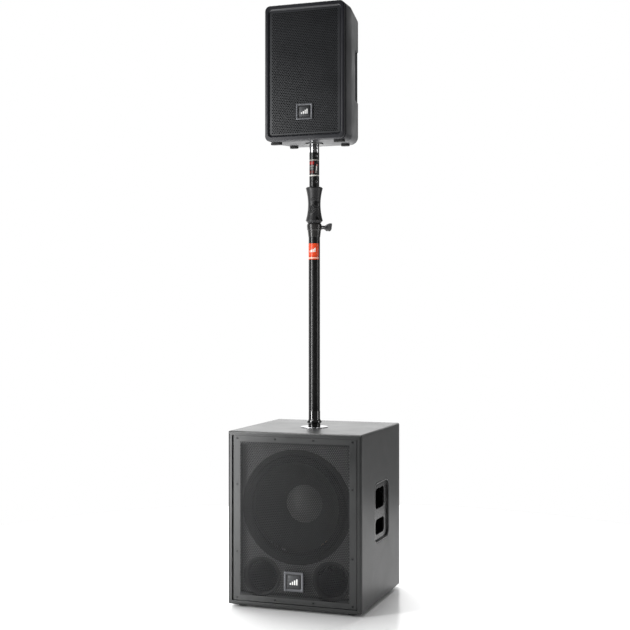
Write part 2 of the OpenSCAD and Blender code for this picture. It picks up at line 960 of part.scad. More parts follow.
module sub_amp_board() {
    color("darkgreen") {
        amp_board(amp_w - 50, amp_h - 60, rear_inner - 12, sub_mid_z);
        for (sx = [-1, 1], sz = [-1, 1])
            along_y([sx * (amp_w / 2 - 32), rear_inner - 10 - eps, sub_mid_z + sz * (amp_h / 2 - 52)])
                cylinder(h = sub_wall + 10 + eps, r = 4);
    }
}

// Two sockets that take a signal in and two plugs that pass it on.
module sub_jacks() {
    color([0.25, 0.25, 0.25]) {
        at_places(input_at, plate_face, sub_mid_z)
            input_jack();
        at_places(output_at, plate_face, sub_mid_z)
            output_jack();
    }
}

module sub_power_inlet() {
    color([0.08, 0.08, 0.08])
        at_places([inlet_at], plate_face, sub_mid_z)
            mains_inlet();
}

module sub_level_knob() {
    color([0.1, 0.1, 0.1])
        at_places([level_at], plate_face, sub_mid_z)
            knob(9, 12, 12);
}

module sub_phase_button() {
    color("silver")
        at_places([phase_at], plate_face, sub_mid_z)
            along_y([0, -9, 0])
                cylinder(h = 13, r = push_r);
}

module sub_power_switch() {
    color([0.5, 0.08, 0.08])
        at_places([switch_at], plate_face - rocker_sink, sub_mid_z)
            rocker();
}

// ---------------------------------------------------------------- pole
socket_body_r = 24;
plug_r = 17.9;
stud_r = 10;

module pole_socket() {
    color("silver")
        translate([0, pole_y, sub_top])
            difference() {
                union() {
                    cylinder(h = 2.5, r1 = socket_plate_r, r2 = socket_plate_r - 1);
                    translate([0, 0, -socket_depth])
                        cylinder(h = socket_depth + 1, r = socket_body_r);
                }
                translate([0, 0, -50])
                    cylinder(h = 60, r = plug_r + slack);
                translate([0, 0, -socket_depth - 1])
                    cylinder(h = socket_depth, r = stud_r + 0.05);
            }
}

// The screwed foot of the pole: stud, plug, shoulder, bead and tube sleeve.
module pole_coupler() {
    bead_z = 21;
    bead_h = 6;
    sleeve_r = outer_r + 0.9;
    foot_top = 2.5;
    color([0.05, 0.05, 0.05])
        translate([0, pole_y, sub_top])
            difference() {
                rotate_extrude()
                    polygon([
                        [0, -socket_depth + 4], [stud_r, -socket_depth + 4], [stud_r, -49], [plug_r, -49],
                        [plug_r, foot_top], [outer_r + 1.5, foot_top], [outer_r + 1.5, bead_z - bead_h],
                        [outer_r + 6.4, bead_z - 1.5], [outer_r + 6.4, bead_z + 1.5],
                        [sleeve_r, bead_z + bead_h + 2], [sleeve_r, coupler_seat + coupler_sleeve],
                        [0, coupler_seat + coupler_sleeve]
                    ]);
                translate([0, 0, coupler_seat])
                    cylinder(h = coupler_sleeve + 1, r = outer_r + 0.02);
            }
}

module pole_outer_tube() {
    color([0.04, 0.04, 0.04])
        difference() {
            translate([0, pole_y, tube_z0])
                tube(outer_r, bore_r, outer_len);
            from_pole(clamp_z, 90)
                cylinder(h = 2 * outer_r, r = screw_r + fit_gap);
            from_pole(waist_z, pole_face)
                cylinder(h = 2 * outer_r, r = button_r + fit_gap);
            from_pole(grip_screw_z, pole_face)
                cylinder(h = 2 * outer_r, r = 2.05);
        }
}

// A band round most of the lower tube, open at the back.
module pole_label() {
    reach = 3 * outer_r;
    gap = [for (a = [68:30:218]) [reach * sin(a), -reach * cos(a)]];
    color("orangered")
        translate([0, pole_y, label_z0])
            difference() {
                tube(outer_r + label_t, outer_r, label_h);
                translate([0, 0, -1])
                    linear_extrude(label_h + 2)
                        polygon(concat([[0, 0]], gap));
            }
}

module pole_collar() {
    color([0.25, 0.25, 0.25])
        difference() {
            union() {
                translate([0, pole_y, 0])
                    rotate_extrude()
                        polygon([
                            [outer_r + 0.02, skirt_z0], [outer_r + 0.9, skirt_z0],
                            [collar_r - 2.7, collar_z0 - 1],
                            [collar_r - 1.5, collar_z0], [collar_r, collar_z0 + 3], [collar_r, collar_z1 - 4],
                            [collar_r - 3, collar_z1], [outer_r + 0.02, collar_z1]
                        ]);
                from_pole(clamp_z, 90)
                    translate([0, 0, outer_r + 1])
                        cylinder(h = collar_r - outer_r + 2, r = 7);
            }
            from_pole(clamp_z, 90)
                cylinder(h = 2 * collar_r, r = screw_r + fit_gap);
        }
}

// An hourglass sleeve: its radius grows with the square of the distance from the waist.
module pole_grip() {
    steps = 14;
    neck_h = 9;
    round_h = 6;
    low_z = grip_z0 + neck_h;
    high_z = grip_z1 - round_h;
    reach = max(waist_z - low_z, high_z - waist_z);
    function grip_radius(z) = grip_waist_r + (grip_end_r - grip_waist_r) * pow((z - waist_z) / reach, 2);
    flank = [
        for (k = [0:steps])
            let (z = low_z + (high_z - low_z) * k / steps)
            [grip_radius(z), z]
    ];
    outline = concat(
        [[outer_r + 0.02, grip_z0], [outer_r + 1.5, grip_z0]],
        flank,
        [[grip_end_r - 3, grip_z1 - 1], [grip_end_r - 5, grip_z1], [inner_r + 0.1, grip_z1]],
        [[inner_r + 0.1, tube_z1], [outer_r + 0.02, tube_z1]]
    );
    color([0.25, 0.25, 0.25])
        difference() {
            translate([0, pole_y, 0])
                rotate_extrude()
                    polygon(outline);
            from_pole(waist_z, pole_face)
                cylinder(h = 2 * outer_r, r = button_r + fit_gap);
            from_pole(grip_screw_z, pole_face)
                cylinder(h = 2 * outer_r, r = 2.05);
            from_pole(grip_screw_z, pole_face)
                translate([0, 0, outer_r + 3])
                    cylinder(h = outer_r, r = 6.5);
        }
}

module pole_grip_screw() {
    color("silver")
        from_pole(grip_screw_z, pole_face)
            translate([0, 0, outer_r + 3])
                screw(4.5, 2.5, 2, outer_r + 3 - bore_r);
}

// The button's inner face stays clear of the upper tube when it is pressed.
button_travel = 1.2;
button_inner = inner_r + button_travel + 0.2;

module pole_thumb_button() {
    color([0.1, 0.1, 0.1])
        from_pole(waist_z, pole_face)
            translate([0, 0, button_inner])
                union() {
                    cylinder(h = grip_waist_r + 0.6 - button_inner, r = button_r);
                    translate([0, 0, grip_waist_r + 0.6 - button_inner - eps])
                        cylinder(h = 1, r1 = button_r, r2 = button_r - 2);
                }
}

pad_t = 3;

module pole_clamp_pad() {
    color("white")
        from_pole(clamp_z, 90)
            translate([0, 0, inner_r + seat_gap])
                cylinder(h = pad_t, r = screw_r);
}

// A screw, a hub and two rounded wings in one plane.
module pole_wing_knob() {
    hub_x = collar_r + 3;
    wing_len = 37;
    wing_half = 8.5;
    lobe_r = 6.3;
    screw_x = inner_r + seat_gap + pad_t;
    color([0.2, 0.2, 0.2])
        from_pole(clamp_z, 90) {
            translate([0, 0, screw_x])
                cylinder(h = hub_x - screw_x + 2, r = screw_r);
            translate([0, 0, hub_x])
                cylinder(h = wing_len * 0.62, r1 = 6.5, r2 = 5.5);
            rotate([0, 0, 14])
                translate([0, 4, hub_x])
                    rotate([90, 0, 0])
                        linear_extrude(8)
                            hull()
                                for (sx = [-1, 1]) {
                                    translate([sx * wing_half, wing_len - lobe_r])
                                        circle(lobe_r, $fn = 32);
                                    translate([sx * 1.5, 8])
                                        circle(3, $fn = 32);
                                }
        }
}

module pole_inner_tube() {
    color([0.05, 0.05, 0.05])
        difference() {
            translate([0, pole_y, inner_z0])
                tube(inner_r, inner_r - tube_wall, inner_len);
            for (z = [pin_low_z, pin_high_z])
                translate([0, 0, z])
                    from_pole(0, pole_face)
                        cylinder(h = 3 * inner_r, r = pin_r, center = true);
            mark_bands();
        }
}

// Two white rings and the printed band between them, let into the tube's surface.
// Each band is [lowest edge below the tube's top, height].
mark_rows = [[83, 5.5], [77.5, 47.5], [30, 4.5]];

module mark_bands() {
    for (row = mark_rows)
        translate([0, pole_y, inner_z1 - row[0]])
            tube(inner_r + 1, inner_r - inlay, row[1]);
}

module pole_marks() {
    color("white")
        for (row = mark_rows)
            translate([0, pole_y, inner_z1 - row[0]])
                tube(inner_r, inner_r - inlay, row[1]);
}

spigot_r = inner_r - 0.05;
spigot_plug = 7.5;

module pole_spigot() {
    color("silver")
        translate([0, pole_y, inner_z1 - spigot_plug])
            rotate_extrude()
                polygon([
                    [0, 0], [inner_r - tube_wall - fit_gap, 0], [inner_r - tube_wall - fit_gap, spigot_plug],
                    [spigot_r, spigot_plug], [spigot_r, spigot_plug + spigot_show + spigot_depth - 4],
                    [spigot_r - 3, spigot_plug + spigot_show + spigot_depth - seat_gap],
                    [0, spigot_plug + spigot_show + spigot_depth - seat_gap]
                ]);
}

// ---------------------------------------------------------------- top cabinet
// The housing's outside, or its inside when inset is the wall, from y0 to the rear.
module top_body(inset, y0) {
    thin = 0.02;
    slab_y(top_w - 2 * inset, top_h - 2 * inset, top_corner_r - inset, y0, crease_y, top_mid_z);
    hull() {
        slab_y(
            top_w - 2 * inset, top_h - 2 * inset, top_corner_r - inset,
            crease_y - thin, crease_y, top_mid_z, $fn = 32
        );
        slab_y(
            top_w - 2 * taper_x - 2 * inset, top_h - 2 * taper_z - 2 * inset, rear_corner_r - inset,
            top_rear - inset - thin, top_rear - inset, top_mid_z, $fn = 32
        );
    }
}

// The hand space beside each handle bar, open to the side and to the rear.
module grab_space(grow) {
    both_sides()
        translate([grab_x - grow, top_rear - grab_d - grow, grab_z - grab_h / 2 - grow])
            cube([top_w, grab_d + 20, grab_h + 2 * grow]);
}

module top_rear_housing() {
    boss_w = 16;
    boss_reach = 28;
    color([0.2, 0.2, 0.22]) {
        difference() {
            union() {
                difference() {
                    top_body(0, shell_front);
                    difference() {
                        top_body(top_wall, shell_front - 1);
                        grab_space(top_wall);
                    }
                }
                for (p = top_screw_at, sx = [-1, 1])
                    translate([
                        sx * (top_w / 2 - 2) - (sx > 0 ? boss_reach : 0),
                        shell_front + lip_d + 0.3,
                        top_mid_z + p - boss_w / 2
                    ])
                        cube([boss_reach, 26, boss_w]);
            }
            grab_space(0);
            slab_y(top_amp_w + 0.6, top_amp_h + 0.6, 4, top_rear - top_plate_t, top_rear + 1, top_mid_z);
            slab_y(top_amp_w - 16, top_amp_h - 16, 4, top_rear - 2 * top_wall, top_rear + 1, top_mid_z);
            translate([0, pole_y, top_z0 - 1])
                cylinder(h = 2 * top_wall, r = cup_r + slack);
            at_top_screws()
                translate([0, 0, -45])
                    cylinder(h = 50, r = 1.7);
        }
        both_sides()
            translate([bar_x - bar_w / 2, top_rear + grab_proud - bar_d / 2, grab_z - grab_bar_h / 2])
                linear_extrude(grab_bar_h)
                    round_rect(bar_w, bar_d, 8);
    }
}

// Heights of the screws that pull the two halves together, from the middle.
top_screw_at = [-195, -65, 65, 195];

module at_top_screws() {
    for (p = top_screw_at, sx = [-1, 1])
        translate([sx * (open_w / 2 - 7), panel_y, top_mid_z + p])
            rotate([90, 0, 0])
                children();
}

mid_hole_r = mid_r - 10;
mid_z = top_z0 + mid_rise;
horn_z = top_z0 + horn_rise;

module top_front_housing() {
    lip_w = top_w - 2 * top_wall - 0.6;
    lip_h = top_h - 2 * top_wall - 0.6;
    neck_w = top_w - 2 * groove_depth;
    neck_h = top_h - 2 * groove_depth;
    chamfer = 5;
    color([0.22, 0.22, 0.24])
        difference() {
            union() {
                slab_y(top_w, top_h, top_corner_r, top_front, bezel_back, top_mid_z);
                slab_y(neck_w, neck_h, top_corner_r - groove_depth, bezel_back - 1, shell_front, top_mid_z);
                slab_y(
                    min(lip_w, neck_w), min(lip_h, neck_h), top_corner_r - top_wall - 1,
                    shell_front - 1, shell_front + lip_d, top_mid_z
                );
            }
            slab_y(open_w, open_h, open_r, top_front - 1, panel_y, top_mid_z);
            hull() {
                slab_y(
                    open_w + 2 * chamfer, open_h + 2 * chamfer, open_r + chamfer,
                    top_front - 0.1, top_front, top_mid_z, $fn = 32
                );
                slab_y(
                    open_w, open_h, open_r,
                    top_front + chamfer, top_front + chamfer + 0.1, top_mid_z, $fn = 32
                );
            }
            slab_y(neck_w - 8, neck_h - 8, 8, panel_y + panel_t, shell_front + lip_d + 1, top_mid_z);
            along_y([0, panel_y - 1, mid_z])
                cylinder(h = panel_t + 2, r = mid_hole_r);
            slab_y(horn_w + 4, horn_h + 4, 10, panel_y - 1, panel_y + panel_t + 1, horn_z);
            at_top_screws()
                translate([0, 0, -panel_t - 1])
                    cylinder(h = panel_t + 2, r = 2);
        }
}

// They pass through the baffle into posts of the rear housing.
module top_housing_screws() {
    color("black")
        at_top_screws()
            screw(3.4, 2.2, 1.7, panel_t + lip_d + 12);
}

module top_grille() {
    color([0.12, 0.12, 0.13])
        slab_y(open_w - 1.5, open_h - 1.5, open_r - 1, top_grille_y, top_grille_y + top_grille_t, top_mid_z);
}

module top_badge() {
    color("silver")
        translate([0, 0, top_z0 + 98])
            badge(top_badge_w, top_badge_h, top_grille_y);
}

mid_coil_r = 25;
mid_magnet_r = 48;
mid_depth = 52;
mid_cone_r = mid_r - 26;

module top_woofer_basket() {
    color([0.15, 0.15, 0.15]) {
        along_y([0, panel_y, mid_z]) {
            basket(mid_r, mid_hole_r, mid_magnet_r - 2, 15, mid_depth);
            translate([0, 0, mid_depth - eps])
                magnet(mid_magnet_r, mid_coil_r, 30);
        }
        along_y([0, panel_y - flange_t, mid_z])
            surround(mid_cone_r + 1, mid_r - 8, eps);
    }
}

module top_woofer_cone() {
    color([0.06, 0.06, 0.06])
        along_y([0, panel_y, mid_z])
            cone(mid_cone_r, mid_coil_r, 33, 1, mid_depth - 14, mid_depth + 10);
}

// A rectangular mouth that draws in to the round throat, with a flange in front.
module top_horn() {
    throat_r = 14;
    skin = 3;
    throat_y = panel_y + horn_depth;
    module flare(grow, y0, y1) {
        hull() {
            slab_y(
                horn_w - 2 * skin + 2 * grow, horn_h - 2 * skin + 2 * grow, 9,
                y0, y0 + 0.1, horn_z, $fn = 32
            );
            along_y([0, y1 - 0.1, horn_z])
                cylinder(h = 0.1, r = throat_r + grow, $fn = 32);
        }
    }
    color([0.08, 0.08, 0.08])
        difference() {
            union() {
                slab_y(horn_w + 16, horn_h + 14, 8, panel_y - 3, panel_y, horn_z);
                flare(skin, panel_y - 1, throat_y);
                along_y([0, throat_y - 4, horn_z])
                    cylinder(h = 4, r = 32);
            }
            flare(0, panel_y - 3.1, throat_y + 0.1);
        }
}

module top_tweeter_driver() {
    color([0.3, 0.3, 0.32])
        difference() {
            along_y([0, panel_y + horn_depth, horn_z])
                union() {
                    cylinder(h = 12, r = 34);
                    cylinder(h = 44, r = 42);
                }
            along_y([0, panel_y + horn_depth - 1, horn_z])
                cylinder(h = 20, r = 13);
        }
}

cup_r = 22;

module top_pole_cup() {
    color([0.12, 0.12, 0.12])
        translate([0, pole_y, top_z0])
            difference() {
                union() {
                    translate([0, 0, -3])
                        cylinder(h = 3, r1 = 31, r2 = 33);
                    translate([0, 0, -1])
                        cylinder(h = spigot_depth + 4, r = cup_r);
                }
                translate([0, 0, -4])
                    cylinder(h = spigot_depth + 4, r = spigot_r + fit_gap);
            }
}

// Two long pads at the front and two short ones behind them.
module top_feet() {
    foot_place = [[115, top_front + 38, 40], [96, top_rear - 55, 30]];
    color([0.05, 0.05, 0.05])
        both_sides()
            for (p = foot_place)
                translate([p[0], p[1], top_z0 - top_foot_h + top_sag(p[1])])
                    linear_extrude(top_foot_h)
                        round_rect(p[2], 22, 10);
}

// How far the tapering underside has risen at the depth y.
function top_sag(y) = y < crease_y ? 0 : taper_z * (y - crease_y - 15) / (top_rear - crease_y);

module top_amp_plate() {
    y0 = top_rear - top_plate_t;
    color([0.15, 0.15, 0.15])
        difference() {
            slab_y(top_amp_w, top_amp_h, 4, y0, top_rear, top_mid_z);
            round_holes(top_input_at, jack_r + slack, y0, top_rear, top_mid_z);
            round_holes([top_level_at], knob_shaft_r + fit_gap, y0, top_rear, top_mid_z);
            box_holes([top_inlet_at], inlet_w + 2 * slack, inlet_h + 2 * slack, y0, top_rear, top_mid_z);
            box_holes([top_switch_at], rocker_w + 0.6, 2 * rocker_r + 1, y0, top_rear, top_mid_z);
        }
}

module top_amp_board() {
    y = top_rear - 34;
    color("darkgreen") {
        amp_board(top_amp_w - 24, top_amp_h - 60, y, top_mid_z);
        for (sx = [-1, 1], sz = [-1, 1])
            along_y([sx * (top_amp_w / 2 - 16), y + 2 - eps, top_mid_z + sz * (top_amp_h / 2 - 36)])
                cylinder(h = top_rear - top_plate_t - y - 2 + eps, r = 3);
    }
}

module top_input_jacks() {
    color([0.25, 0.25, 0.25])
        at_places(top_input_at, top_rear, top_mid_z)
            input_jack();
}

module top_power_inlet() {
    color([0.08, 0.08, 0.08])
        at_places([top_inlet_at], top_rear, top_mid_z)
            mains_inlet();
}

module top_level_knob() {
    color([0.1, 0.1, 0.1])
        at_places([top_level_at], top_rear, top_mid_z)
            knob(11, 13, 10);
}

module top_power_switch() {
    color([0.5, 0.08, 0.08])
        at_places([top_switch_at], top_rear - rocker_sink, top_mid_z)
            rocker();
}

sub_top_panel();
sub_bottom_panel();
sub_left_panel();
sub_right_panel();
sub_rear_panel();
sub_baffle();
sub_brace();
sub_grille_frame();
sub_grille();
sub_grille_screws();
sub_badge();
sub_side_handles();
sub_handle_cups();
sub_port_tubes();
sub_woofer_basket();
sub_woofer_magnet();
sub_woofer_cone();
sub_woofer_surround();
sub_woofer_spider();
sub_woofer_screws();
sub_feet();
sub_amp_plate();
sub_heatsink();
sub_amp_board();
sub_jacks();
sub_power_inlet();
sub_level_knob();
sub_phase_button();
sub_power_switch();
sub_plate_screws();
pole_socket();
pole_coupler();
pole_outer_tube();
pole_label();
pole_collar();
pole_grip();
pole_grip_screw();
pole_thumb_button();
pole_clamp_pad();
pole_wing_knob();
pole_inner_tube();
pole_marks();
pole_spigot();
top_front_housing();
top_housing_screws();
top_rear_housing();
top_grille();
top_badge();
top_woofer_basket();
top_woofer_cone();
top_horn();
top_tweeter_driver();
top_pole_cup();
top_feet();
top_amp_plate();
top_amp_board();
top_input_jacks();
top_power_inlet();
top_level_knob();
top_power_switch();
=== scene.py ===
"""Loudspeaker stack: a bass cabinet, a telescopic pole and a small top cabinet.

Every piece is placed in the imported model's own frame, in metres, with +Z up.
"""

import json
import logging
import math
from dataclasses import dataclass, field
from enum import Enum
from typing import Callable, Sequence

import bmesh
import bpy
import numpy as np
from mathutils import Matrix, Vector


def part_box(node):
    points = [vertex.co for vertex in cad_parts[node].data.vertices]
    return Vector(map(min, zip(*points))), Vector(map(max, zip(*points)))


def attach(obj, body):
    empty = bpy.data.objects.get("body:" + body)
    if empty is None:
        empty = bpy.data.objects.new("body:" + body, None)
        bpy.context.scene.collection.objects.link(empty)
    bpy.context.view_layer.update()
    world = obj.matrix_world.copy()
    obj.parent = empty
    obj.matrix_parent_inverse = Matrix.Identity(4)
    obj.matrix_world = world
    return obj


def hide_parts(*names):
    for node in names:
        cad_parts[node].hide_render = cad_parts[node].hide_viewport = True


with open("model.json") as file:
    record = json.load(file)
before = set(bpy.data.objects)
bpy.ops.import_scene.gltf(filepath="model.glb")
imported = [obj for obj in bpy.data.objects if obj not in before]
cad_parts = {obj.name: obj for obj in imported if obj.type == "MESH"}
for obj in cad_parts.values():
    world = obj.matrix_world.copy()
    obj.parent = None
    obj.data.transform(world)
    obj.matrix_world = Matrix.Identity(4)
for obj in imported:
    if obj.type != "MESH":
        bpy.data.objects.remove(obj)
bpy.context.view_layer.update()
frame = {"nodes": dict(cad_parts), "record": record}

log = logging.getLogger("loudspeaker")
Array = np.ndarray
Colour = tuple[float, float, float, float]


def box_of(node: str) -> tuple[Array, Array]:
    """Lowest and highest corner of a CAD node.

    Args:
        node: The CAD node's name.

    Returns:
        Two arrays of three numbers, in metres.
    """
    low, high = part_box(node)
    return np.array(low), np.array(high)


def middle_of(node: str) -> Array:
    """Middle of a CAD node's box, in metres."""
    low, high = box_of(node)
    return (low + high) / 2


def grid_quads(rows: int, columns: int, wrap_rows: bool = False, wrap_columns: bool = True) -> Array:
    """Faces of a grid of points that is stored row after row.

    Face (i, j) joins points j and j+1 of row i to the same two of row i+1, and
    a wrapped direction joins its last line to its first.

    Args:
        rows: Number of rows.
        columns: Points in each row.
        wrap_rows: Whether the last row joins the first.
        wrap_columns: Whether each row is a closed loop.

    Returns:
        An integer array of shape (faces, 4).
    """
    row = np.arange(rows if wrap_rows else rows - 1)
    column = np.arange(columns if wrap_columns else columns - 1)
    r0, c0 = (a.ravel() for a in np.meshgrid(row, column, indexing="ij"))
    r1, c1 = (r0 + 1) % rows, (c0 + 1) % columns
    return np.stack([r0 * columns + c0, r0 * columns + c1, r1 * columns + c1, r1 * columns + c0], axis=1)


def rounded_rect(width: float, height: float, radius: float, steps: int = 8) -> Array:
    """Outline of a rectangle with quarter-circle corners, anticlockwise.

    Corner k is a quarter circle of the given radius about a point that is the
    radius in from both sides, from angle k*90 to (k+1)*90 degrees.

    Args:
        width: Full width.
        height: Full height.
        radius: Corner radius.
        steps: Segments in each corner.

    Returns:
        An array of shape (4 * (steps + 1), 2).
    """
    radius = min(radius, width / 2, height / 2)
    quarter = np.linspace(0.0, math.pi / 2, steps + 1)
    turn = np.arange(4)[:, None] * math.pi / 2
    angle = turn + quarter[None, :]
    sign_x = np.sign(np.cos(turn + math.pi / 4))
    sign_y = np.sign(np.sin(turn + math.pi / 4))
    x = sign_x * (width / 2 - radius) + radius * np.cos(angle)
    y = sign_y * (height / 2 - radius) + radius * np.sin(angle)
    return np.stack([x.ravel(), y.ravel()], axis=1)


def fillet(points: Sequence[tuple[float, float]], radius: float, steps: int = 4, closed: bool = False) -> Array:
    """Round the corners of a profile.

    A corner p with neighbours a and b is replaced by the curve
    (1-t)^2 * a' + 2t(1-t) * p + t^2 * b', where a' and b' lie on its two sides at
    the radius from p, or at 45 per cent of a shorter side.

    Args:
        points: The profile's corners.
        radius: How far the rounding reaches along each side.
        steps: Segments in each corner.
        closed: Whether the profile is a loop; otherwise its ends stay as they are.

    Returns:
        An array of two columns.
    """
    corner = np.asarray(points, float)
    before, after = np.roll(corner, 1, axis=0) - corner, np.roll(corner, -1, axis=0) - corner
    reach_a, reach_b = (np.linalg.norm(side, axis=1, keepdims=True) for side in (before, after))
    start = corner + before / reach_a * np.minimum(radius, 0.45 * reach_a)
    end = corner + after / reach_b * np.minimum(radius, 0.45 * reach_b)
    t = np.linspace(0, 1, steps + 1)[None, :, None]
    curve = (1 - t) ** 2 * start[:, None] + 2 * t * (1 - t) * corner[:, None] + t ** 2 * end[:, None]
    if closed:
        return curve.reshape(-1, 2)
    return np.concatenate([corner[:1], curve[1:-1].reshape(-1, 2), corner[-1:]])


class Facing(Enum):
    """The way a flat-drawn shape looks once it stands in the frame."""

    FRONT = "its first axis is +X, its second +Z and its depth +Y"
    RIGHT = "its first axis is +Y, its second +Z and its depth -X"
    LEFT = "its first axis is -Y, its second +Z and its depth +X"
    REAR = "its first axis is -X, its second +Z and its depth -Y"
    UP = "its first axis is +X, its second +Y and its depth +Z"

    def place(self, points: Array, centre: Sequence[float]) -> Array:
        """Turn (across, up, depth) points this way and move them to the centre.

        Args:
            points: Array whose last axis holds across, up and depth.
            centre: Where the drawing's origin goes.

        Returns:
            The points in the row frame.
        """
        across, up, depth = points[..., 0], points[..., 1], points[..., 2]
        axes = {
            Facing.FRONT: (across, depth, up),
            Facing.RIGHT: (-depth, across, up),
            Facing.LEFT: (depth, -across, up),
            Facing.REAR: (-across, -depth, up),
            Facing.UP: (across, up, depth),
        }[self]
        return np.stack(axes, axis=-1) + np.asarray(centre, float)


@dataclass
class Surface:
    """Points and faces of one piece, gathered before they become a mesh."""

    points: list[Array] = field(default_factory=list)
    faces: list[list[int]] = field(default_factory=list)
    count: int = 0

    def add(self, points: Array, faces: Array | list[list[int]]) -> "Surface":
        """Add points, and faces that number them from zero.

        Args:
            points: Array whose last axis holds x, y and z.
            faces: Faces over these points only.

        Returns:
            This surface.
        """
        flat = np.asarray(points, float).reshape(-1, 3)
        shifted = (np.asarray(faces) + self.count).tolist() if isinstance(faces, np.ndarray) else [
            [index + self.count for index in face] for face in faces]
        self.points.append(flat)
        self.faces.extend(shifted)
        self.count += len(flat)
        return self

    def loft(self, loops: Array, wrap: bool = False, caps: bool = True) -> "Surface":
        """Skin a stack of closed loops that have the same number of points.

        Point (i, j) of the skin is point j of loop i.

        Args:
            loops: Array of shape (loops, points, 3).
            wrap: Whether the last loop joins the first, as in a ring.
            caps: Whether flat faces close the two ends.

        Returns:
            This surface.
        """
        rows, columns = loops.shape[:2]
        faces = grid_quads(rows, columns, wrap_rows=wrap).tolist()
        if caps and not wrap:
            faces.append(list(range(columns))[::-1])
            faces.append([(rows - 1) * columns + k for k in range(columns)])
        return self.add(loops, faces)

    def lathe(self, profile: Array, centre: Sequence[float], facing: Facing = Facing.UP,
              segments: int = 96, wrap: bool = False) -> "Surface":
        """Turn a profile round an axis.

        Point (i, j) is at radius r_i, angle 360 * j / segments and height h_i.

        Args:
            profile: Array of (radius, height) rows.
            centre: A point on the axis, at height zero.
            facing: The axis is this facing's depth.
            segments: Number of steps round the axis.
            wrap: Whether the profile is itself a closed loop.

        Returns:
            This surface.
        """
        profile = np.asarray(profile, float)
        angle = np.linspace(0.0, 2 * math.pi, segments, endpoint=False)
        radius = profile[:, :1]
        loops = np.stack([radius * np.cos(angle), radius * np.sin(angle),
                          np.broadcast_to(profile[:, 1:], (len(profile), segments))], axis=-1)
        placed = facing.place(loops, centre)
        faces = grid_quads(len(profile), segments, wrap_rows=wrap).tolist()
        if not wrap and profile[0, 0] > 1e-6:
            faces.append(list(range(segments))[::-1])
        if not wrap and profile[-1, 0] > 1e-6:
            faces.append([(len(profile) - 1) * segments + k for k in range(segments)])
        return self.add(placed, faces)

    def quads(self, corners: Array) -> "Surface":
        """Add separate four-sided faces, joining the corners that coincide.

        Args:
            corners: Array of shape (faces, 4, 3).

        Returns:
            This surface.
        """
        flat = corners.reshape(-1, 3)
        _, first, index = np.unique(np.round(flat / 1e-6).astype(np.int64), axis=0, return_index=True,
                                    return_inverse=True)
        return self.add(flat[first], index.reshape(-1, 4))

    def rect_stack(self, rows: Sequence[tuple[float, float, float, float]], centre: Sequence[float],
                   facing: Facing = Facing.FRONT, wrap: bool = False, steps: int = 8) -> "Surface":
        """Skin a stack of rounded rectangles.

        Args:
            rows: Width, height, corner radius and depth of each rectangle.
            centre: Where the stack's origin goes.
            facing: How the rectangles stand.
            wrap: Whether the last rectangle joins the first, as in a frame.
            steps: Segments in each corner.

        Returns:
            This surface.
        """
        flat = np.stack([rounded_rect(w, h, max(r, 1e-4), steps) for w, h, r, _ in rows])
        depth = np.broadcast_to(np.array([row[3] for row in rows])[:, None, None], flat.shape[:2] + (1,))
        return self.loft(facing.place(np.concatenate([flat, depth], axis=-1), centre), wrap=wrap)

    def slab(self, outline: Array, edge: Sequence[tuple[float, float]], centre: Sequence[float],
             facing: Facing) -> "Surface":
        """Give a flat outline thickness, with its edge drawn in by given amounts.

        Loop i is the outline moved inwards by inset_i along its own normals, at
        depth_i.

        Args:
            outline: Closed outline of (across, up) rows, anticlockwise.
            edge: Rows of inset and depth.
            centre: Where the outline's origin goes.
            facing: How the outline stands.

        Returns:
            This surface.
        """
        along = np.roll(outline, -1, axis=0) - np.roll(outline, 1, axis=0)
        along /= np.linalg.norm(along, axis=1, keepdims=True)
        normal = np.stack([along[:, 1], -along[:, 0]], axis=1)
        steps = np.asarray(edge, float)
        flat = outline[None] - normal[None] * steps[:, :1, None]
        depth = np.broadcast_to(steps[:, 1:, None], flat.shape[:2] + (1,))
        return self.loft(facing.place(np.concatenate([flat, depth], axis=-1), centre))

    def turned(self, degrees: float, axis: Sequence[float]) -> "Surface":
        """Turn everything gathered so far about an upright axis.

        Args:
            degrees: Turn from -Y towards +X.
            axis: A point on the axis.

        Returns:
            This surface.
        """
        angle = math.radians(degrees)
        centre = np.asarray(axis, float)
        cosine, sine = math.cos(angle), math.sin(angle)
        matrix = np.array([[cosine, -sine, 0], [sine, cosine, 0], [0, 0, 1]])
        self.points = [(points - centre) @ matrix.T + centre for points in self.points]
        return self

    def piece(self, name: str, finish: str, body: str, replaces: Sequence[str] = (),
              smooth: float = 35.0) -> bpy.types.Object:
        """Make the mesh, close its seams, point its faces outwards and finish it.

        Args:
            name: The piece's name.
            finish: The material slot that dresses it.
            body: The CAD body that it moves with.
            replaces: CAD nodes that it stands for.
            smooth: Edges sharper than this many degrees stay sharp.

        Returns:
            The finished object.
        """
        mesh = bpy.data.meshes.new(name)
        mesh.from_pydata(np.concatenate(self.points).tolist(), [], self.faces)
        work = bmesh.new()
        work.from_mesh(mesh)
        bmesh.ops.remove_doubles(work, verts=work.verts, dist=2e-6)
        bmesh.ops.recalc_face_normals(work, faces=work.faces)
        return settle(work, mesh, name, finish, body, replaces, smooth)


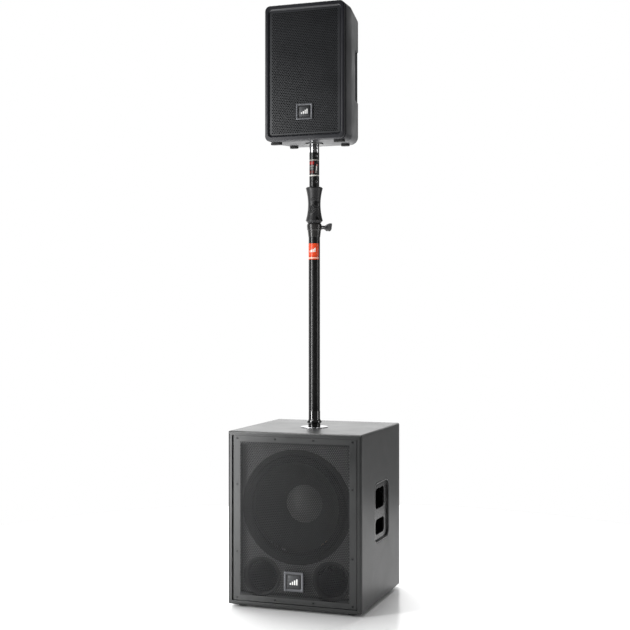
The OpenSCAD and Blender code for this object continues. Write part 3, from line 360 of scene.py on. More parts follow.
def settle(work: bmesh.types.BMesh, mesh: bpy.types.Mesh, name: str, finish: str, body: str,
           replaces: Sequence[str], smooth: float) -> bpy.types.Object:
    """Store a mesh that is being worked on as a finished piece that rides on a body.

    Args:
        work: The mesh being worked on, which is freed.
        mesh: The mesh that receives it.
        name: The piece's name.
        finish: The material slot that dresses it.
        body: The CAD body that it moves with.
        replaces: CAD nodes that it stands for.
        smooth: Edges sharper than this many degrees stay sharp.

    Returns:
        The finished object.
    """
    work.to_mesh(mesh)
    work.free()
    mesh.polygons.foreach_set("use_smooth", np.ones(len(mesh.polygons), bool))
    mesh.set_sharp_from_angle(angle=math.radians(smooth))
    mesh.materials.clear()
    mesh.materials.append(FINISHES[finish].material())
    piece = bpy.data.objects.new(name, mesh)
    bpy.context.collection.objects.link(piece)
    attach(piece, body)
    if replaces:
        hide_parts(*replaces)
    log.info("%s: %d faces on %s", name, len(mesh.polygons), body)
    return piece


def eased_copy(node: str, easing: Sequence[tuple[float, Callable[[Vector], bool]]], finish: str, body: str,
               shortest: float = 0.02) -> bpy.types.Object:
    """Copy of a CAD node whose long sharp edges are rounded over.

    The copy's doubles are merged and its flat faces joined. Then each outer edge
    that is longer than the shortest length and turns by more than 30 degrees is
    rounded by the first radius whose test its middle passes.

    Args:
        node: The CAD node, which the copy stands for.
        easing: Radii, each with a test of an edge's middle.
        finish: The material slot that dresses it.
        body: The CAD body that it moves with.
        shortest: Shorter edges, such as those of a drilled hole, are left alone.

    Returns:
        The finished object.
    """
    mesh = frame["nodes"][node].data.copy()
    work = bmesh.new()
    work.from_mesh(mesh)
    bmesh.ops.remove_doubles(work, verts=work.verts, dist=2e-6)
    bmesh.ops.dissolve_limit(work, angle_limit=math.radians(0.5), verts=work.verts, edges=work.edges)
    for radius, wanted in easing:
        edges = [e for e in work.edges if e.is_manifold and e.is_convex and e.calc_length() > shortest
                 and e.calc_face_angle(0.0) > math.radians(30) and wanted((e.verts[0].co + e.verts[1].co) / 2)]
        bmesh.ops.bevel(work, geom=edges, offset=radius, offset_type="OFFSET", segments=4, profile=0.5,
                        affect="EDGES", clamp_overlap=False)
    piece = settle(work, mesh, f"{node}_eased", finish, body, (node,), 40.0)
    even = piece.modifiers.new("even_faces", "WEIGHTED_NORMAL")
    even.weight, even.keep_sharp = 100, True
    return piece


class Canvas:
    """The node tree of one material, with its surface shader and its output."""

    def __init__(self, name: str) -> None:
        """Start an empty tree that ends in a principled shader.

        Args:
            name: The material's name.
        """
        self.material = bpy.data.materials.new(name)
        self.material.use_nodes = True
        self.tree = self.material.node_tree
        self.tree.nodes.clear()
        self.shader = self.add("ShaderNodeBsdfPrincipled")
        end = self.add("ShaderNodeOutputMaterial")
        self.tree.links.new(self.shader.outputs[0], end.inputs["Surface"])
        self.place = self.add("ShaderNodeTexCoord").outputs["Object"]

    def add(self, kind: str, settings: dict | None = None, **values: object) -> bpy.types.Node:
        """Add a node.

        Args:
            kind: Blender's name for the node.
            settings: The node's own properties.
            **values: Input values or sockets, named as the inputs are, with
                spaces as underscores.

        Returns:
            The node.
        """
        node = self.tree.nodes.new(kind)
        for key, value in (settings or {}).items():
            setattr(node, key, value)
        for key, value in values.items():
            self.feed(node.inputs[key.replace("_", " ")], value)
        return node

    def feed(self, socket: bpy.types.NodeSocket, value: object) -> None:
        """Link an output to an input, or set the input's own value.

        Args:
            socket: The input.
            value: An output to link, or a value to set.
        """
        if isinstance(value, bpy.types.NodeSocket):
            self.tree.links.new(value, socket)
        else:
            socket.default_value = value

    def math(self, operation: str, first: object, second: object = 0.0) -> bpy.types.NodeSocket:
        """Arithmetic on one or two numbers, which may be sockets.

        Args:
            operation: Blender's name for the operation.
            first: The first number.
            second: The second number, which some operations leave aside.

        Returns:
            The result's socket.
        """
        node = self.add("ShaderNodeMath", {"operation": operation})
        self.feed(node.inputs[0], first)
        self.feed(node.inputs[1], second)
        return node.outputs[0]

    def mix(self, factor: object, low: object, high: object) -> bpy.types.NodeSocket:
        """Colour between low and high, as the factor goes from 0 to 1.

        Args:
            factor: How far along, as a number or a socket.
            low: Colour at 0.
            high: Colour at 1.

        Returns:
            The colour's socket.
        """
        node = self.add("ShaderNodeMix", {"data_type": "RGBA"})
        for socket, value in ((node.inputs[0], factor), (node.inputs[6], low), (node.inputs[7], high)):
            self.feed(socket, value)
        return node.outputs[2]

    def spread(self, value: object, low: float, high: float, start: float = 0.0,
               end: float = 1.0) -> bpy.types.NodeSocket:
        """Number that runs from low to high as the value goes from start to end.

        Args:
            value: The number that is read.
            low: Result at the start and before it.
            high: Result at the end and past it.
            start: Where the run starts.
            end: Where the run ends.

        Returns:
            The result's socket.
        """
        node = self.add("ShaderNodeMapRange", Value=value)
        for key, number in (("From Min", start), ("From Max", end), ("To Min", low), ("To Max", high)):
            node.inputs[key].default_value = number
        return node.outputs[0]

    def noise(self, size: float, detail: float = 2.0, stretch: Sequence[float] = (1, 1, 1),
              harshness: float = 0.5) -> bpy.types.NodeSocket:
        """Cloudy pattern whose lumps are about the given size.

        Args:
            size: Size of a lump, in metres.
            detail: How many finer layers it has.
            stretch: Factor on each axis, below 1 where the lumps are drawn out.
            harshness: Strength of each finer layer against the one before.

        Returns:
            The pattern's socket, from 0 to 1.
        """
        scaled = self.add("ShaderNodeMapping", Vector=self.place)
        scaled.inputs["Scale"].default_value = stretch
        node = self.add("ShaderNodeTexNoise", Vector=scaled.outputs[0], Scale=1.0 / size, Detail=detail,
                        Roughness=harshness)
        return node.outputs["Fac"]

    def bands(self, value: object, stops: Sequence[tuple[float, Sequence[float]]]) -> bpy.types.NodeSocket:
        """Flat bands of colour along a number from 0 to 1, each from its stop upwards.

        Args:
            value: The number's socket.
            stops: Where each band starts, with its colour.

        Returns:
            The colour's socket.
        """
        node = self.add("ShaderNodeValToRGB", Fac=value)
        ramp = node.color_ramp
        ramp.interpolation = "CONSTANT"
        while len(ramp.elements) < len(stops):
            ramp.elements.new(1.0)
        for element, (position, colour) in zip(ramp.elements, stops):
            element.position = position
            element.color = colour
        return node.outputs[0]


def tone(red: float, green: float, blue: float, gain: float = 1.0) -> Colour:
    """Linear colour from the 0 to 255 values seen on a screen.

    Args:
        red: Red as seen.
        green: Green as seen.
        blue: Blue as seen.
        gain: Factor on the linear colour.

    Returns:
        Red, green, blue and an alpha of one.
    """
    seen = np.array([red, green, blue], float) / 255.0
    linear = np.where(seen <= 0.04045, seen / 12.92, ((seen + 0.055) / 1.055) ** 2.4) * gain
    return (*np.clip(linear, 0.0, 1.0).tolist(), 1.0)


class Grain(Enum):
    """Kinds of fine relief."""

    PEEL = "small soft lumps, as on rolled texture paint"
    PEBBLE = "shallow cells, as on grained mouldings"
    BRUSHED = "long fine scratches up and down"
    TURNED = "long fine scratches round the piece"
    CAST = "uneven skin of a casting"
    FIBRE = "felted pulp"
    WEAVE = "crossed threads"


@dataclass(frozen=True)
class Finish:
    """A painted, moulded or metal surface with its relief and its slight unevenness."""

    name: str
    base: tuple[float, float, float]
    rough: float = 0.5
    metal: float = 0.0
    grain: Grain = Grain.PEEL
    grain_size: float = 0.0012
    relief: float = 0.00008
    uneven: float = 0.12
    rough_swing: float = 0.06
    patch: float = 0.09
    coat: float = 0.0
    gloss: float = 0.5
    slot: str = ""

    def colour(self, canvas: Canvas, cloud: bpy.types.NodeSocket,
               fine: bpy.types.NodeSocket) -> bpy.types.NodeSocket:
        """Base colour, darker in the relief's pits and drifting over the piece.

        Args:
            canvas: The material's tree.
            cloud: Broad unevenness, from 0 to 1.
            fine: The grain's height, from 0 to 1.

        Returns:
            The colour's socket.
        """
        factor = canvas.math("ADD", canvas.math("MULTIPLY", cloud, 0.6), canvas.math("MULTIPLY", fine, 0.4))
        return canvas.mix(canvas.spread(factor, 0.0, 1.0, 0.3, 0.7), tone(*self.base, 1 - self.uneven),
                          tone(*self.base, 1 + self.uneven))

    def height(self, canvas: Canvas) -> bpy.types.NodeSocket:
        """The grain's height, a pattern that depends on the kind of grain.

        Args:
            canvas: The material's tree.

        Returns:
            The height's socket, from 0 to 1.
        """
        size = self.grain_size
        if self.grain is Grain.PEBBLE:
            node = canvas.add("ShaderNodeTexVoronoi", {"feature": "SMOOTH_F1"}, Vector=canvas.place,
                              Scale=1 / size)
            return canvas.math("ADD", canvas.math("MULTIPLY", node.outputs["Distance"], 0.8),
                               canvas.math("MULTIPLY", canvas.noise(size / 2), 0.2))
        if self.grain is Grain.BRUSHED:
            return canvas.noise(size, 3.0, (1, 1, 0.03))
        if self.grain is Grain.TURNED:
            return canvas.noise(size, 3.0, (0.03, 0.03, 1))
        if self.grain is Grain.CAST:
            return canvas.noise(size, 6.0, harshness=0.65)
        if self.grain is Grain.FIBRE:
            return canvas.math("MAXIMUM", canvas.noise(size, 4.0, (1, 0.2, 0.25)),
                               canvas.noise(size, 4.0, (0.2, 1, 1)))
        if self.grain is Grain.WEAVE:
            threads = [canvas.add("ShaderNodeTexWave", {"bands_direction": axis, "wave_profile": "SIN"},
                                  Vector=canvas.place, Scale=0.16 / size, Distortion=0.4).outputs["Fac"]
                       for axis in ("X", "Z")]
            return canvas.math("MAXIMUM", *threads)
        return canvas.noise(size, 2.5)

    def material(self) -> bpy.types.Material:
        """The finish as a material, made the first time that it is asked for.

        Returns:
            The material.
        """
        made = bpy.data.materials.get(f"{self.name}_finish")
        if made:
            return made
        canvas = Canvas(f"{self.name}_finish")
        cloud = canvas.noise(self.patch, 3.0)
        fine = self.height(canvas)
        colour = self.colour(canvas, cloud, fine)
        shader = canvas.shader
        canvas.feed(shader.inputs["Base Color"], colour)
        canvas.feed(shader.inputs["Roughness"], canvas.spread(
            cloud, max(self.rough - self.rough_swing, 0.03), min(self.rough + self.rough_swing, 1.0), 0.3, 0.7))
        canvas.feed(shader.inputs["Metallic"], self.metal)
        canvas.feed(shader.inputs["Coat Weight"], self.coat)
        canvas.feed(shader.inputs["Coat Roughness"], 0.08)
        canvas.feed(shader.inputs["Specular IOR Level"], self.gloss)
        bump = canvas.add("ShaderNodeBump", Height=fine, Strength=1.0, Distance=self.relief)
        canvas.feed(shader.inputs["Normal"], bump.outputs[0])
        return canvas.material


@dataclass(frozen=True)
class RoundPrint(Finish):
    """Ink on a tube: plain bands up the tube, and blocks on the side that faces the room."""

    node: str = ""
    turn: float = 0.0
    stops: tuple = ()
    blocks: tuple = ()

    def colour(self, canvas: Canvas, cloud: bpy.types.NodeSocket,
               fine: bpy.types.NodeSocket) -> bpy.types.NodeSocket:
        """Bands by the share of the height, with each block laid over them.

        A block covers the points whose angle round the tube, counted from the
        print's middle, and whose share of the height are within its limits. It
        carries its own ink.

        Args:
            canvas: The material's tree.
            cloud: Broad unevenness, from 0 to 1.
            fine: The grain's height, from 0 to 1; not used.

        Returns:
            The colour's socket.
        """
        low, high = box_of(self.node)
        axis_y = middle_of("pole_outer_tube")[1]
        split = canvas.add("ShaderNodeSeparateXYZ", Vector=canvas.place).outputs
        share = canvas.spread(split["Z"], 0.0, 1.0, float(low[2]), float(high[2]))
        angle = canvas.math("ARCTAN2", split["X"], canvas.math("SUBTRACT", float(axis_y), split["Y"]))
        angle = canvas.math("SUBTRACT", angle, math.radians(self.turn))
        ink = canvas.bands(share, self.stops)
        for left, right, start, end, block_ink in self.blocks:
            across = canvas.math("ABSOLUTE", canvas.math("SUBTRACT", angle, math.radians((left + right) / 2)))
            up = canvas.math("ABSOLUTE", canvas.math("SUBTRACT", share, (start + end) / 2))
            inside = canvas.math("MULTIPLY", canvas.math("LESS_THAN", across, math.radians((right - left) / 2)),
                                 canvas.math("LESS_THAN", up, (end - start) / 2))
            ink = canvas.mix(inside, ink, block_ink)
        worn = canvas.spread(cloud, 1 - self.uneven, 1.0, 0.3, 0.6)
        return canvas.mix(worn, tone(*self.base), ink)


@dataclass(frozen=True)
class Circuit(Finish):
    """A printed board: solder mask with paler tracks and square pads."""

    def colour(self, canvas: Canvas, cloud: bpy.types.NodeSocket,
               fine: bpy.types.NodeSocket) -> bpy.types.NodeSocket:
        """Solder-mask colour, paler along the borders of square cells.

        Args:
            canvas: The material's tree.
            cloud: Broad unevenness, from 0 to 1; not used.
            fine: The grain's height, from 0 to 1; not used.

        Returns:
            The colour's socket.
        """
        cells = canvas.add("ShaderNodeTexVoronoi", {"feature": "F1", "distance": "CHEBYCHEV"}, Vector=canvas.place,
                           Scale=70.0)
        track = canvas.spread(cells.outputs["Distance"], 0.0, 1.0, 0.42, 0.46)
        return canvas.mix(track, tone(*self.base), tone(96, 140, 84))


WHITE_INK = tone(238, 236, 230)
PALE_INK = tone(150, 146, 140)
GREY_INK = tone(104, 102, 98)
RED_INK = tone(150, 30, 26)
DARK_RED_INK = tone(84, 24, 20)
TUBE_BLACK = tone(20, 20, 21)
ORANGE_INK = tone(228, 74, 34)

FINISHES: dict[str, Finish] = {finish.name: finish for finish in (
    Finish("cabinet_paint", (41, 42, 42), rough=0.34, grain_size=0.0016, relief=0.00007, uneven=0.08,
           rough_swing=0.03),
    Finish("inner_paint", (20, 20, 21), rough=0.7, grain_size=0.0012, relief=0.00006),
    Finish("baffle_paint", (104, 104, 104), rough=0.6, grain_size=0.0016, relief=0.00008, slot="inner_paint"),
    Finish("bare_timber", (196, 164, 118), rough=0.65, grain=Grain.BRUSHED, grain_size=0.004, relief=0.0001,
           uneven=0.25, patch=0.04),
    Finish("grille_paint", (31, 32, 33), rough=0.48, grain_size=0.0007, relief=0.00003, uneven=0.08,
           gloss=0.32),
    Finish("grille_frame_paint", (42, 43, 43), rough=0.34, grain_size=0.0012, relief=0.00004, uneven=0.08,
           slot="grille_paint"),
    Finish("top_grille_paint", (34, 36, 39), rough=0.44, grain_size=0.0007, relief=0.00003, uneven=0.08,
           slot="grille_paint"),
    Finish("black_fastener", (24, 24, 25), rough=0.34, metal=0.6, grain=Grain.TURNED, grain_size=0.0004,
           relief=0.00002),
    Finish("badge_metal", (86, 87, 90), rough=0.34, metal=0.6, grain=Grain.BRUSHED, grain_size=0.0004,
           relief=0.00001, uneven=0.08),
    Finish("badge_plate", (52, 53, 55), rough=0.36, metal=0.4, grain=Grain.BRUSHED, grain_size=0.0004,
           relief=0.00001, uneven=0.08, slot="badge_metal"),
    Finish("badge_ring", (12, 12, 13), rough=0.3, grain_size=0.0006, relief=0.00001, slot="badge_metal"),
    Finish("badge_ink", (240, 240, 238), rough=0.4, grain_size=0.0005, relief=0.00001, uneven=0.02,
           slot="badge_metal"),
    Finish("moulded_black", (28, 28, 28), rough=0.3, grain=Grain.PEBBLE, grain_size=0.0010, relief=0.00005),
    # Paler copy of the moulded black: lightened so that the handle's rounded rim reads as a bright line, partly
    # painted highlight.
    Finish("handle_paled_for_highlight", (50, 50, 51), rough=0.24, grain=Grain.PEBBLE, grain_size=0.0010, relief=0.00003,
           slot="moulded_black"),
    Finish("knob_plastic", (18, 18, 19), rough=0.3, grain=Grain.PEBBLE, grain_size=0.0006, relief=0.00002),
    Finish("switch_red", (176, 26, 22), rough=0.3, grain_size=0.0008, relief=0.00002, uneven=0.06),
    Finish("button_metal", (184, 184, 186), rough=0.3, metal=1.0, grain=Grain.TURNED, grain_size=0.0003,
           relief=0.00001),
    Finish("cast_frame", (20, 20, 21), rough=0.65, grain=Grain.CAST, grain_size=0.0022, relief=0.00012, gloss=0.3),
    Finish("magnet_iron", (104, 105, 110), rough=0.45, metal=0.8, grain=Grain.CAST, grain_size=0.003,
           relief=0.0001),
    Finish("cone_paper", (22, 22, 21), rough=0.66, grain=Grain.FIBRE, grain_size=0.0022, relief=0.00016,
           uneven=0.2),
    # Paler copy of the cone paper: the dome's lighter base is partly painted highlight.
    Finish("cap_paper_painted_highlight", (84, 84, 82), rough=0.42, grain=Grain.FIBRE, grain_size=0.0018, relief=0.0001,
           uneven=0.12, slot="cone_paper"),
    Finish("soft_roll", (16, 16, 17), rough=0.85, grain_size=0.0009, relief=0.00003, gloss=0.2),
    Finish("grille_foam", (9, 9, 10), rough=0.95, grain=Grain.CAST, grain_size=0.0008, relief=0.0003, uneven=0.3,
           gloss=0.1, slot="soft_roll"),
    Finish("spider_cloth", (186, 146, 78), rough=0.8, grain=Grain.WEAVE, grain_size=0.0011, relief=0.00012),
    Finish("foot_rubber", (20, 20, 20), rough=0.72, grain=Grain.PEBBLE, grain_size=0.0012, relief=0.00006),
    Finish("plate_paint", (28, 28, 29), rough=0.42, grain_size=0.0008, relief=0.00004),
    Finish("fin_aluminium", (46, 46, 48), rough=0.38, metal=0.7, grain=Grain.BRUSHED, grain_size=0.0006,
           relief=0.00003),
    Circuit("circuit_board", (24, 84, 46), rough=0.38, grain=Grain.PEBBLE, grain_size=0.004, relief=0.0002),
    Finish("socket_steel", (150, 150, 152), rough=0.2, metal=1.0, grain=Grain.TURNED, grain_size=0.0005,
           relief=0.00001, uneven=0.05),
    Finish("tube_paint", (13, 13, 13), rough=0.3, grain_size=0.0016, relief=0.000002, uneven=0.1,
           rough_swing=0.03),
    Finish("sleeve_gloss", (9, 9, 10), rough=0.09, grain_size=0.002, relief=0.000002, uneven=0.1, rough_swing=0.02,
           coat=0.8, gloss=0.8, slot="tube_paint"),
    RoundPrint("label_orange", (150, 52, 26), rough=0.34, grain_size=0.0008, relief=0.00001, uneven=0.05,
               node="pole_label", turn=19.0,
               stops=((0.0, ORANGE_INK), (0.055, tone(246, 196, 176)), (0.14, ORANGE_INK),
                      (0.185, tone(140, 34, 22)), (0.225, ORANGE_INK)),
               blocks=((-50, -38, 0.46, 0.56, WHITE_INK), (-33, -21, 0.46, 0.61, WHITE_INK),
                       (-16, -4, 0.46, 0.66, WHITE_INK), (1, 13, 0.46, 0.72, WHITE_INK))),
    Finish("collar_plastic", (40, 39, 38), rough=0.3, grain_size=0.0012, relief=0.00001, coat=0.15),
    Finish("grip_rubber", (36, 36, 37), rough=0.42, grain=Grain.PEBBLE, grain_size=0.0009, relief=0.00004),
    Finish("bright_steel", (206, 206, 208), rough=0.16, metal=1.0, grain=Grain.TURNED, grain_size=0.0006,
           relief=0.000006, uneven=0.04, rough_swing=0.04),
    Finish("pad_nylon", (226, 224, 216), rough=0.5, grain_size=0.0006, relief=0.00002),
    RoundPrint("mark_print", (24, 24, 25), rough=0.3, grain_size=0.0008, relief=0.00001, uneven=0.05,
               node="pole_marks", turn=19.0,
               stops=((0.0, tone(206, 203, 196)), (0.075, TUBE_BLACK), (0.935, tone(168, 164, 158))),
               blocks=((-70, -2, 0.70, 0.88, RED_INK), (-70, -6, 0.585, 0.625, PALE_INK),
                       (-70, -10, 0.50, 0.53, GREY_INK), (-60, -8, 0.40, 0.47, GREY_INK),
                       (-70, -4, 0.17, 0.33, DARK_RED_INK), (14, 30, 0.18, 0.36, PALE_INK),
                       (20, 34, 0.34, 0.60, WHITE_INK), (24, 42, 0.60, 0.72, tone(196, 120, 112)))),
    Finish("housing_plastic", (30, 31, 36), rough=0.4, grain=Grain.PEBBLE, grain_size=0.0011, relief=0.00006,
           uneven=0.1),
    # Near-black copy of the housing plastic, laid in the groove behind the bezel: painted shade.
    Finish("groove_painted_shade", (8, 8, 9), rough=0.8, grain_size=0.001, relief=0.00002, slot="housing_plastic"),
    Finish("hole_edge", (214, 214, 216), rough=0.3, metal=0.9, grain_size=0.0004, relief=0.000004,
           slot="bright_steel"),
)}

NODE_FINISH = {"sub_baffle": "baffle_paint", "sub_grille_frame": "grille_frame_paint"}


def dress(node: str, slot: str) -> None:
    """Give a carried-over CAD node its finish.

    Args:
        node: The CAD node.
        slot: The record's material slot, which names the finish.
    """
    held = frame["nodes"][node].data.materials
    held.clear()
    held.append(FINISHES[slot].material())


@dataclass
class PerforatedSheet:
    """A flat steel sheet with staggered six-sided holes inside a plain border."""

    name: str
    node: str
    body: str
    finish: str
    pitch: float
    hole: float
    border_x: float
    border_z: float
    border_finish: str = ""

    def build(self) -> bpy.types.Object:
        """Make the sheet over its CAD node.

        The field is a wall of bricks, one pitch wide and pitch * sqrt(3) / 2 high,
        with alternate rows moved by half a pitch. Each brick is six faces from its
        corners and the middles of its long sides to the hole's six corners. Plain
        faces fill the half bricks and the border, the front is repeated at the back,
        and walls join the two round each hole and round the sheet.

        Returns:
            The finished sheet.
        """
        low, high = box_of(self.node)
        half, rise = self.pitch / 2, self.pitch * math.sqrt(3) / 2
        columns = int((high[0] - low[0] - 2 * self.border_x) / self.pitch)
        rows = int((high[2] - low[2] - 2 * self.border_z) / rise)
        x0 = (low[0] + high[0] - columns * self.pitch) / 2
        z0 = (low[2] + high[2] - rows * rise) / 2
        column, row = (a.ravel() for a in np.meshgrid(np.arange(columns), np.arange(rows), indexing="ij"))
        keep = (row % 2 == 0) | (column < columns - 1)
        column, row = column[keep], row[keep]
        centre = np.stack([x0 + half * (2 * column + 1 + row % 2), z0 + rise * (row + 0.5)], axis=1)
        brick = np.array([(half, rise / 2), (0, rise / 2), (-half, rise / 2),
                          (-half, -rise / 2), (0, -rise / 2), (half, -rise / 2)])
        angle = np.radians([30, 90, 150, 210, 270, 330])
        ring = self.hole / 2 * np.stack([np.cos(angle), np.sin(angle)], axis=1)
        outer, inner = centre[:, None] + brick, centre[:, None] + ring
        ahead_outer, ahead_inner = np.roll(outer, -1, axis=1), np.roll(inner, -1, axis=1)
        flat = [np.stack([outer, ahead_outer, ahead_inner, inner], axis=2).reshape(-1, 4, 2)]

        def cells(x: Array, z: Array, pairs: tuple[Array, Array] | None = None) -> Array:
            """Rectangles between neighbouring lines of x and z, as (faces, 4, 2)."""
            i, k = pairs or tuple(a.ravel() for a in np.meshgrid(np.arange(len(x) - 1), np.arange(len(z) - 1)))
            steps = ((0, 0), (1, 0), (1, 1), (0, 1))
            return np.stack([np.stack([x[i + a], z[k + b]], axis=1) for a, b in steps], axis=1)

        lines_x = x0 + half * np.arange(2 * columns + 1)
        lines_z = z0 + rise * np.arange(rows + 1)
        odd = np.arange(1, rows, 2)
        flat += [cells(lines_x, lines_z, (np.zeros_like(odd), odd)),
                 cells(lines_x, lines_z, (np.full_like(odd, 2 * columns - 1), odd))]
        edge_x, edge_z = (low[0], high[0]), (low[2], high[2])
        sides = [(np.array([edge_x[0], lines_x[0]]), lines_z), (np.array([lines_x[-1], edge_x[1]]), lines_z)]
        all_x = np.concatenate([[edge_x[0]], lines_x, [edge_x[1]]])
        all_z = np.concatenate([[edge_z[0]], lines_z, [edge_z[1]]])
        ends = [(all_x, np.array([edge_z[0], lines_z[0]])), (all_x, np.array([lines_z[-1], edge_z[1]]))]
        flat += [cells(x, z) for x, z in sides + ends]
        face = np.concatenate(flat)
        front, back = low[1], high[1]

        def at(points: Array, depth: float) -> Array:
            """Flat points set at one depth."""
            return np.stack([points[..., 0], np.full(points.shape[:-1], depth), points[..., 1]], axis=-1)

        walls = [np.stack([at(inner, front), at(ahead_inner, front), at(ahead_inner, back), at(inner, back)],
                          axis=2).reshape(-1, 4, 3)]
        for x in edge_x:
            line = np.stack([np.full_like(all_z, x), all_z], axis=1)
            walls.append(np.stack([at(line[:-1], front), at(line[1:], front), at(line[1:], back),
                                   at(line[:-1], back)], axis=1))
        for z in edge_z:
            line = np.stack([all_x, np.full_like(all_x, z)], axis=1)
            walls.append(np.stack([at(line[:-1], front), at(line[1:], front), at(line[1:], back),
                                   at(line[:-1], back)], axis=1))
        surface = Surface().quads(np.concatenate([at(face, front), at(face, back), *walls]))
        piece = surface.piece(self.name, self.finish, self.body, (self.node,), smooth=20.0)
        if self.border_finish:
            polygons = piece.data.polygons
            middle = np.empty(3 * len(polygons))
            polygons.foreach_get("center", middle)
            x, _, z = middle.reshape(-1, 3).T
            plain = (x < lines_x[0]) | (x > lines_x[-1]) | (z < lines_z[0]) | (z > lines_z[-1])
            piece.data.materials.append(FINISHES[self.border_finish].material())
            polygons.foreach_set("material_index", plain.astype(np.int32))
        return piece


@dataclass
class Badge:
    """A framed plate on a grille, with four level bars in place of a mark."""

    name: str
    node: str
    body: str
    border: float = 0.125
    channel: float = 0.055

    def build(self) -> list[bpy.types.Object]:
        """Make the frame, its sunk channel, the plate and the bars.

        Every part is a stack of rounded rectangles, and the frame and the channel
        are closed rings.

        Returns:
            The finished pieces.
        """
        low, high = box_of(self.node)
        width, height, depth = high[0] - low[0], high[2] - low[2], high[1] - low[1]
        centre = ((low[0] + high[0]) / 2, high[1], (low[2] + high[2]) / 2)
        border, channel = self.border * width, self.channel * width

        def ring(rows: Sequence[tuple[float, float, float]]) -> list[tuple[float, float, float, float]]:
            """Rectangles from insets, corner radii and heights above the grille."""
            return [(width - 2 * inset, height - 2 * inset, radius, -rise) for inset, radius, rise in rows]

        r = 0.0022
        frame_rows = ring([(0.0, r, 0.0), (0.0, r, depth - 0.0009), (0.0004, r, depth - 0.0003),
                           (0.0011, r, depth), (border - 0.0012, r + 0.001, depth - 0.0004),
                           (border - 0.0003, r + 0.001, depth - 0.0009), (border, r + 0.001, depth - 0.0016),
                           (border, r + 0.001, 0.0)])
        channel_rows = ring([(border, 0.003, 0.0), (border, 0.003, 0.0012), (border + channel, 0.002, 0.0012),
                             (border + channel, 0.002, 0.0)])
        inner = border + channel
        plate_rows = ring([(inner, 0.002, 0.0), (inner, 0.002, depth - 0.0016),
                           (inner + 0.0004, 0.002, depth - 0.0011), (inner + 0.0010, 0.002, depth - 0.0009)])
        bars = Surface()
        face = width - 2 * inner
        pitch, bar = 0.17 * face, 0.105 * face
        tall = height - 2 * inner
        for k, share in enumerate((0.16, 0.27, 0.38, 0.49)):
            bar_centre = (centre[0] + (k - 1.5) * pitch, centre[1] - depth + 0.0009,
                          centre[2] - 0.25 * tall + share * tall / 2)
            bars.rect_stack([(bar, share * tall, 0.0006, 0.0002), (bar, share * tall, 0.0006, -0.0004),
                             (bar - 0.0003, share * tall - 0.0003, 0.0005, -0.0006)], bar_centre, steps=3)
        return [
            Surface().rect_stack(frame_rows, centre, wrap=True).piece(
                f"{self.name}_frame", "badge_metal", self.body, (self.node,)),
            Surface().rect_stack(channel_rows, centre, wrap=True).piece(
                f"{self.name}_channel", "badge_ring", self.body),
            Surface().rect_stack(plate_rows, centre).piece(f"{self.name}_plate", "badge_plate", self.body),
            bars.piece(f"{self.name}_level_bars", "badge_ink", self.body),
        ]


@dataclass
class Cone:
    """A driver's moving cone with its dome, and the half-round roll at its edge."""

    name: str
    node: str
    body: str
    still_body: str
    edge: float
    neck: float
    cap: float
    front: float
    depth: float
    roll_from: float
    roll_to: float
    roll_front: float
    roll_node: str = ""
    skin: float = 0.0016
    ribs: int = 5

    def build(self) -> list[bpy.types.Object]:
        """Make the cone, its dome and its roll, as turned shells.

        The cone falls from its edge to its neck as depth * ((edge - r) / (edge -
        neck)) ^ 0.9, with shallow ribs that follow a sine of the radius; the dome is
        a parabola; the roll is half a circle.

        Returns:
            The finished pieces.
        """
        axis = middle_of(self.node)
        centre = (axis[0], self.front, axis[2])
        radius = np.linspace(self.edge, self.neck, 60)
        share = (self.edge - radius) / (self.edge - self.neck)
        ripple = 0.0005 * np.sin(share * 2 * math.pi * self.ribs) * np.clip(1 - share * 1.4, 0, 1)
        fall = self.depth * share ** 0.9 + ripple
        outline = np.concatenate([np.stack([radius, fall], 1), np.stack([radius, fall + self.skin], 1)[::-1]])
        cone = Surface().lathe(outline, centre, Facing.FRONT, 120, wrap=True)
        seat = self.depth * ((self.edge - self.cap) / (self.edge - self.neck)) ** 0.9
        r = np.linspace(0, self.cap, 24)
        dome = seat - 0.28 * self.cap * (1 - (r / self.cap) ** 2)
        shell = np.concatenate([np.stack([r, dome], 1), np.stack([r, dome + self.skin], 1)[::-1]])
        cap = Surface().lathe(shell, centre, Facing.FRONT, 96)
        middle, reach = (self.roll_from + self.roll_to) / 2, (self.roll_to - self.roll_from) / 2 - 0.0035
        turn = np.linspace(math.pi, 0, 25)
        over = np.stack([middle + reach * np.cos(turn), -0.0012 - reach * np.sin(turn)], 1)
        under = np.stack([middle + (reach - 0.0012) * np.cos(turn), -(reach - 0.0012) * np.sin(turn)], 1)[::-1]
        loop = np.concatenate([[[self.roll_from, 0.0], [self.roll_from, -0.0012]], over,
                               [[self.roll_to, -0.0012], [self.roll_to, 0.0]], under])
        roll = Surface().lathe(loop, (axis[0], self.roll_front, axis[2]), Facing.FRONT, 120, wrap=True)
        # The dust cap's paler finish is partly painted highlight.
        pieces = [cone.piece(f"{self.name}_cone", "cone_paper", self.body, (self.node,)),
                  cap.piece(f"{self.name}_dust_cap", "cap_paper_painted_highlight", self.body)]
        if self.roll_node:
            pieces.append(roll.piece(f"{self.name}_roll", "soft_roll", self.still_body, (self.roll_node,)))
        return pieces


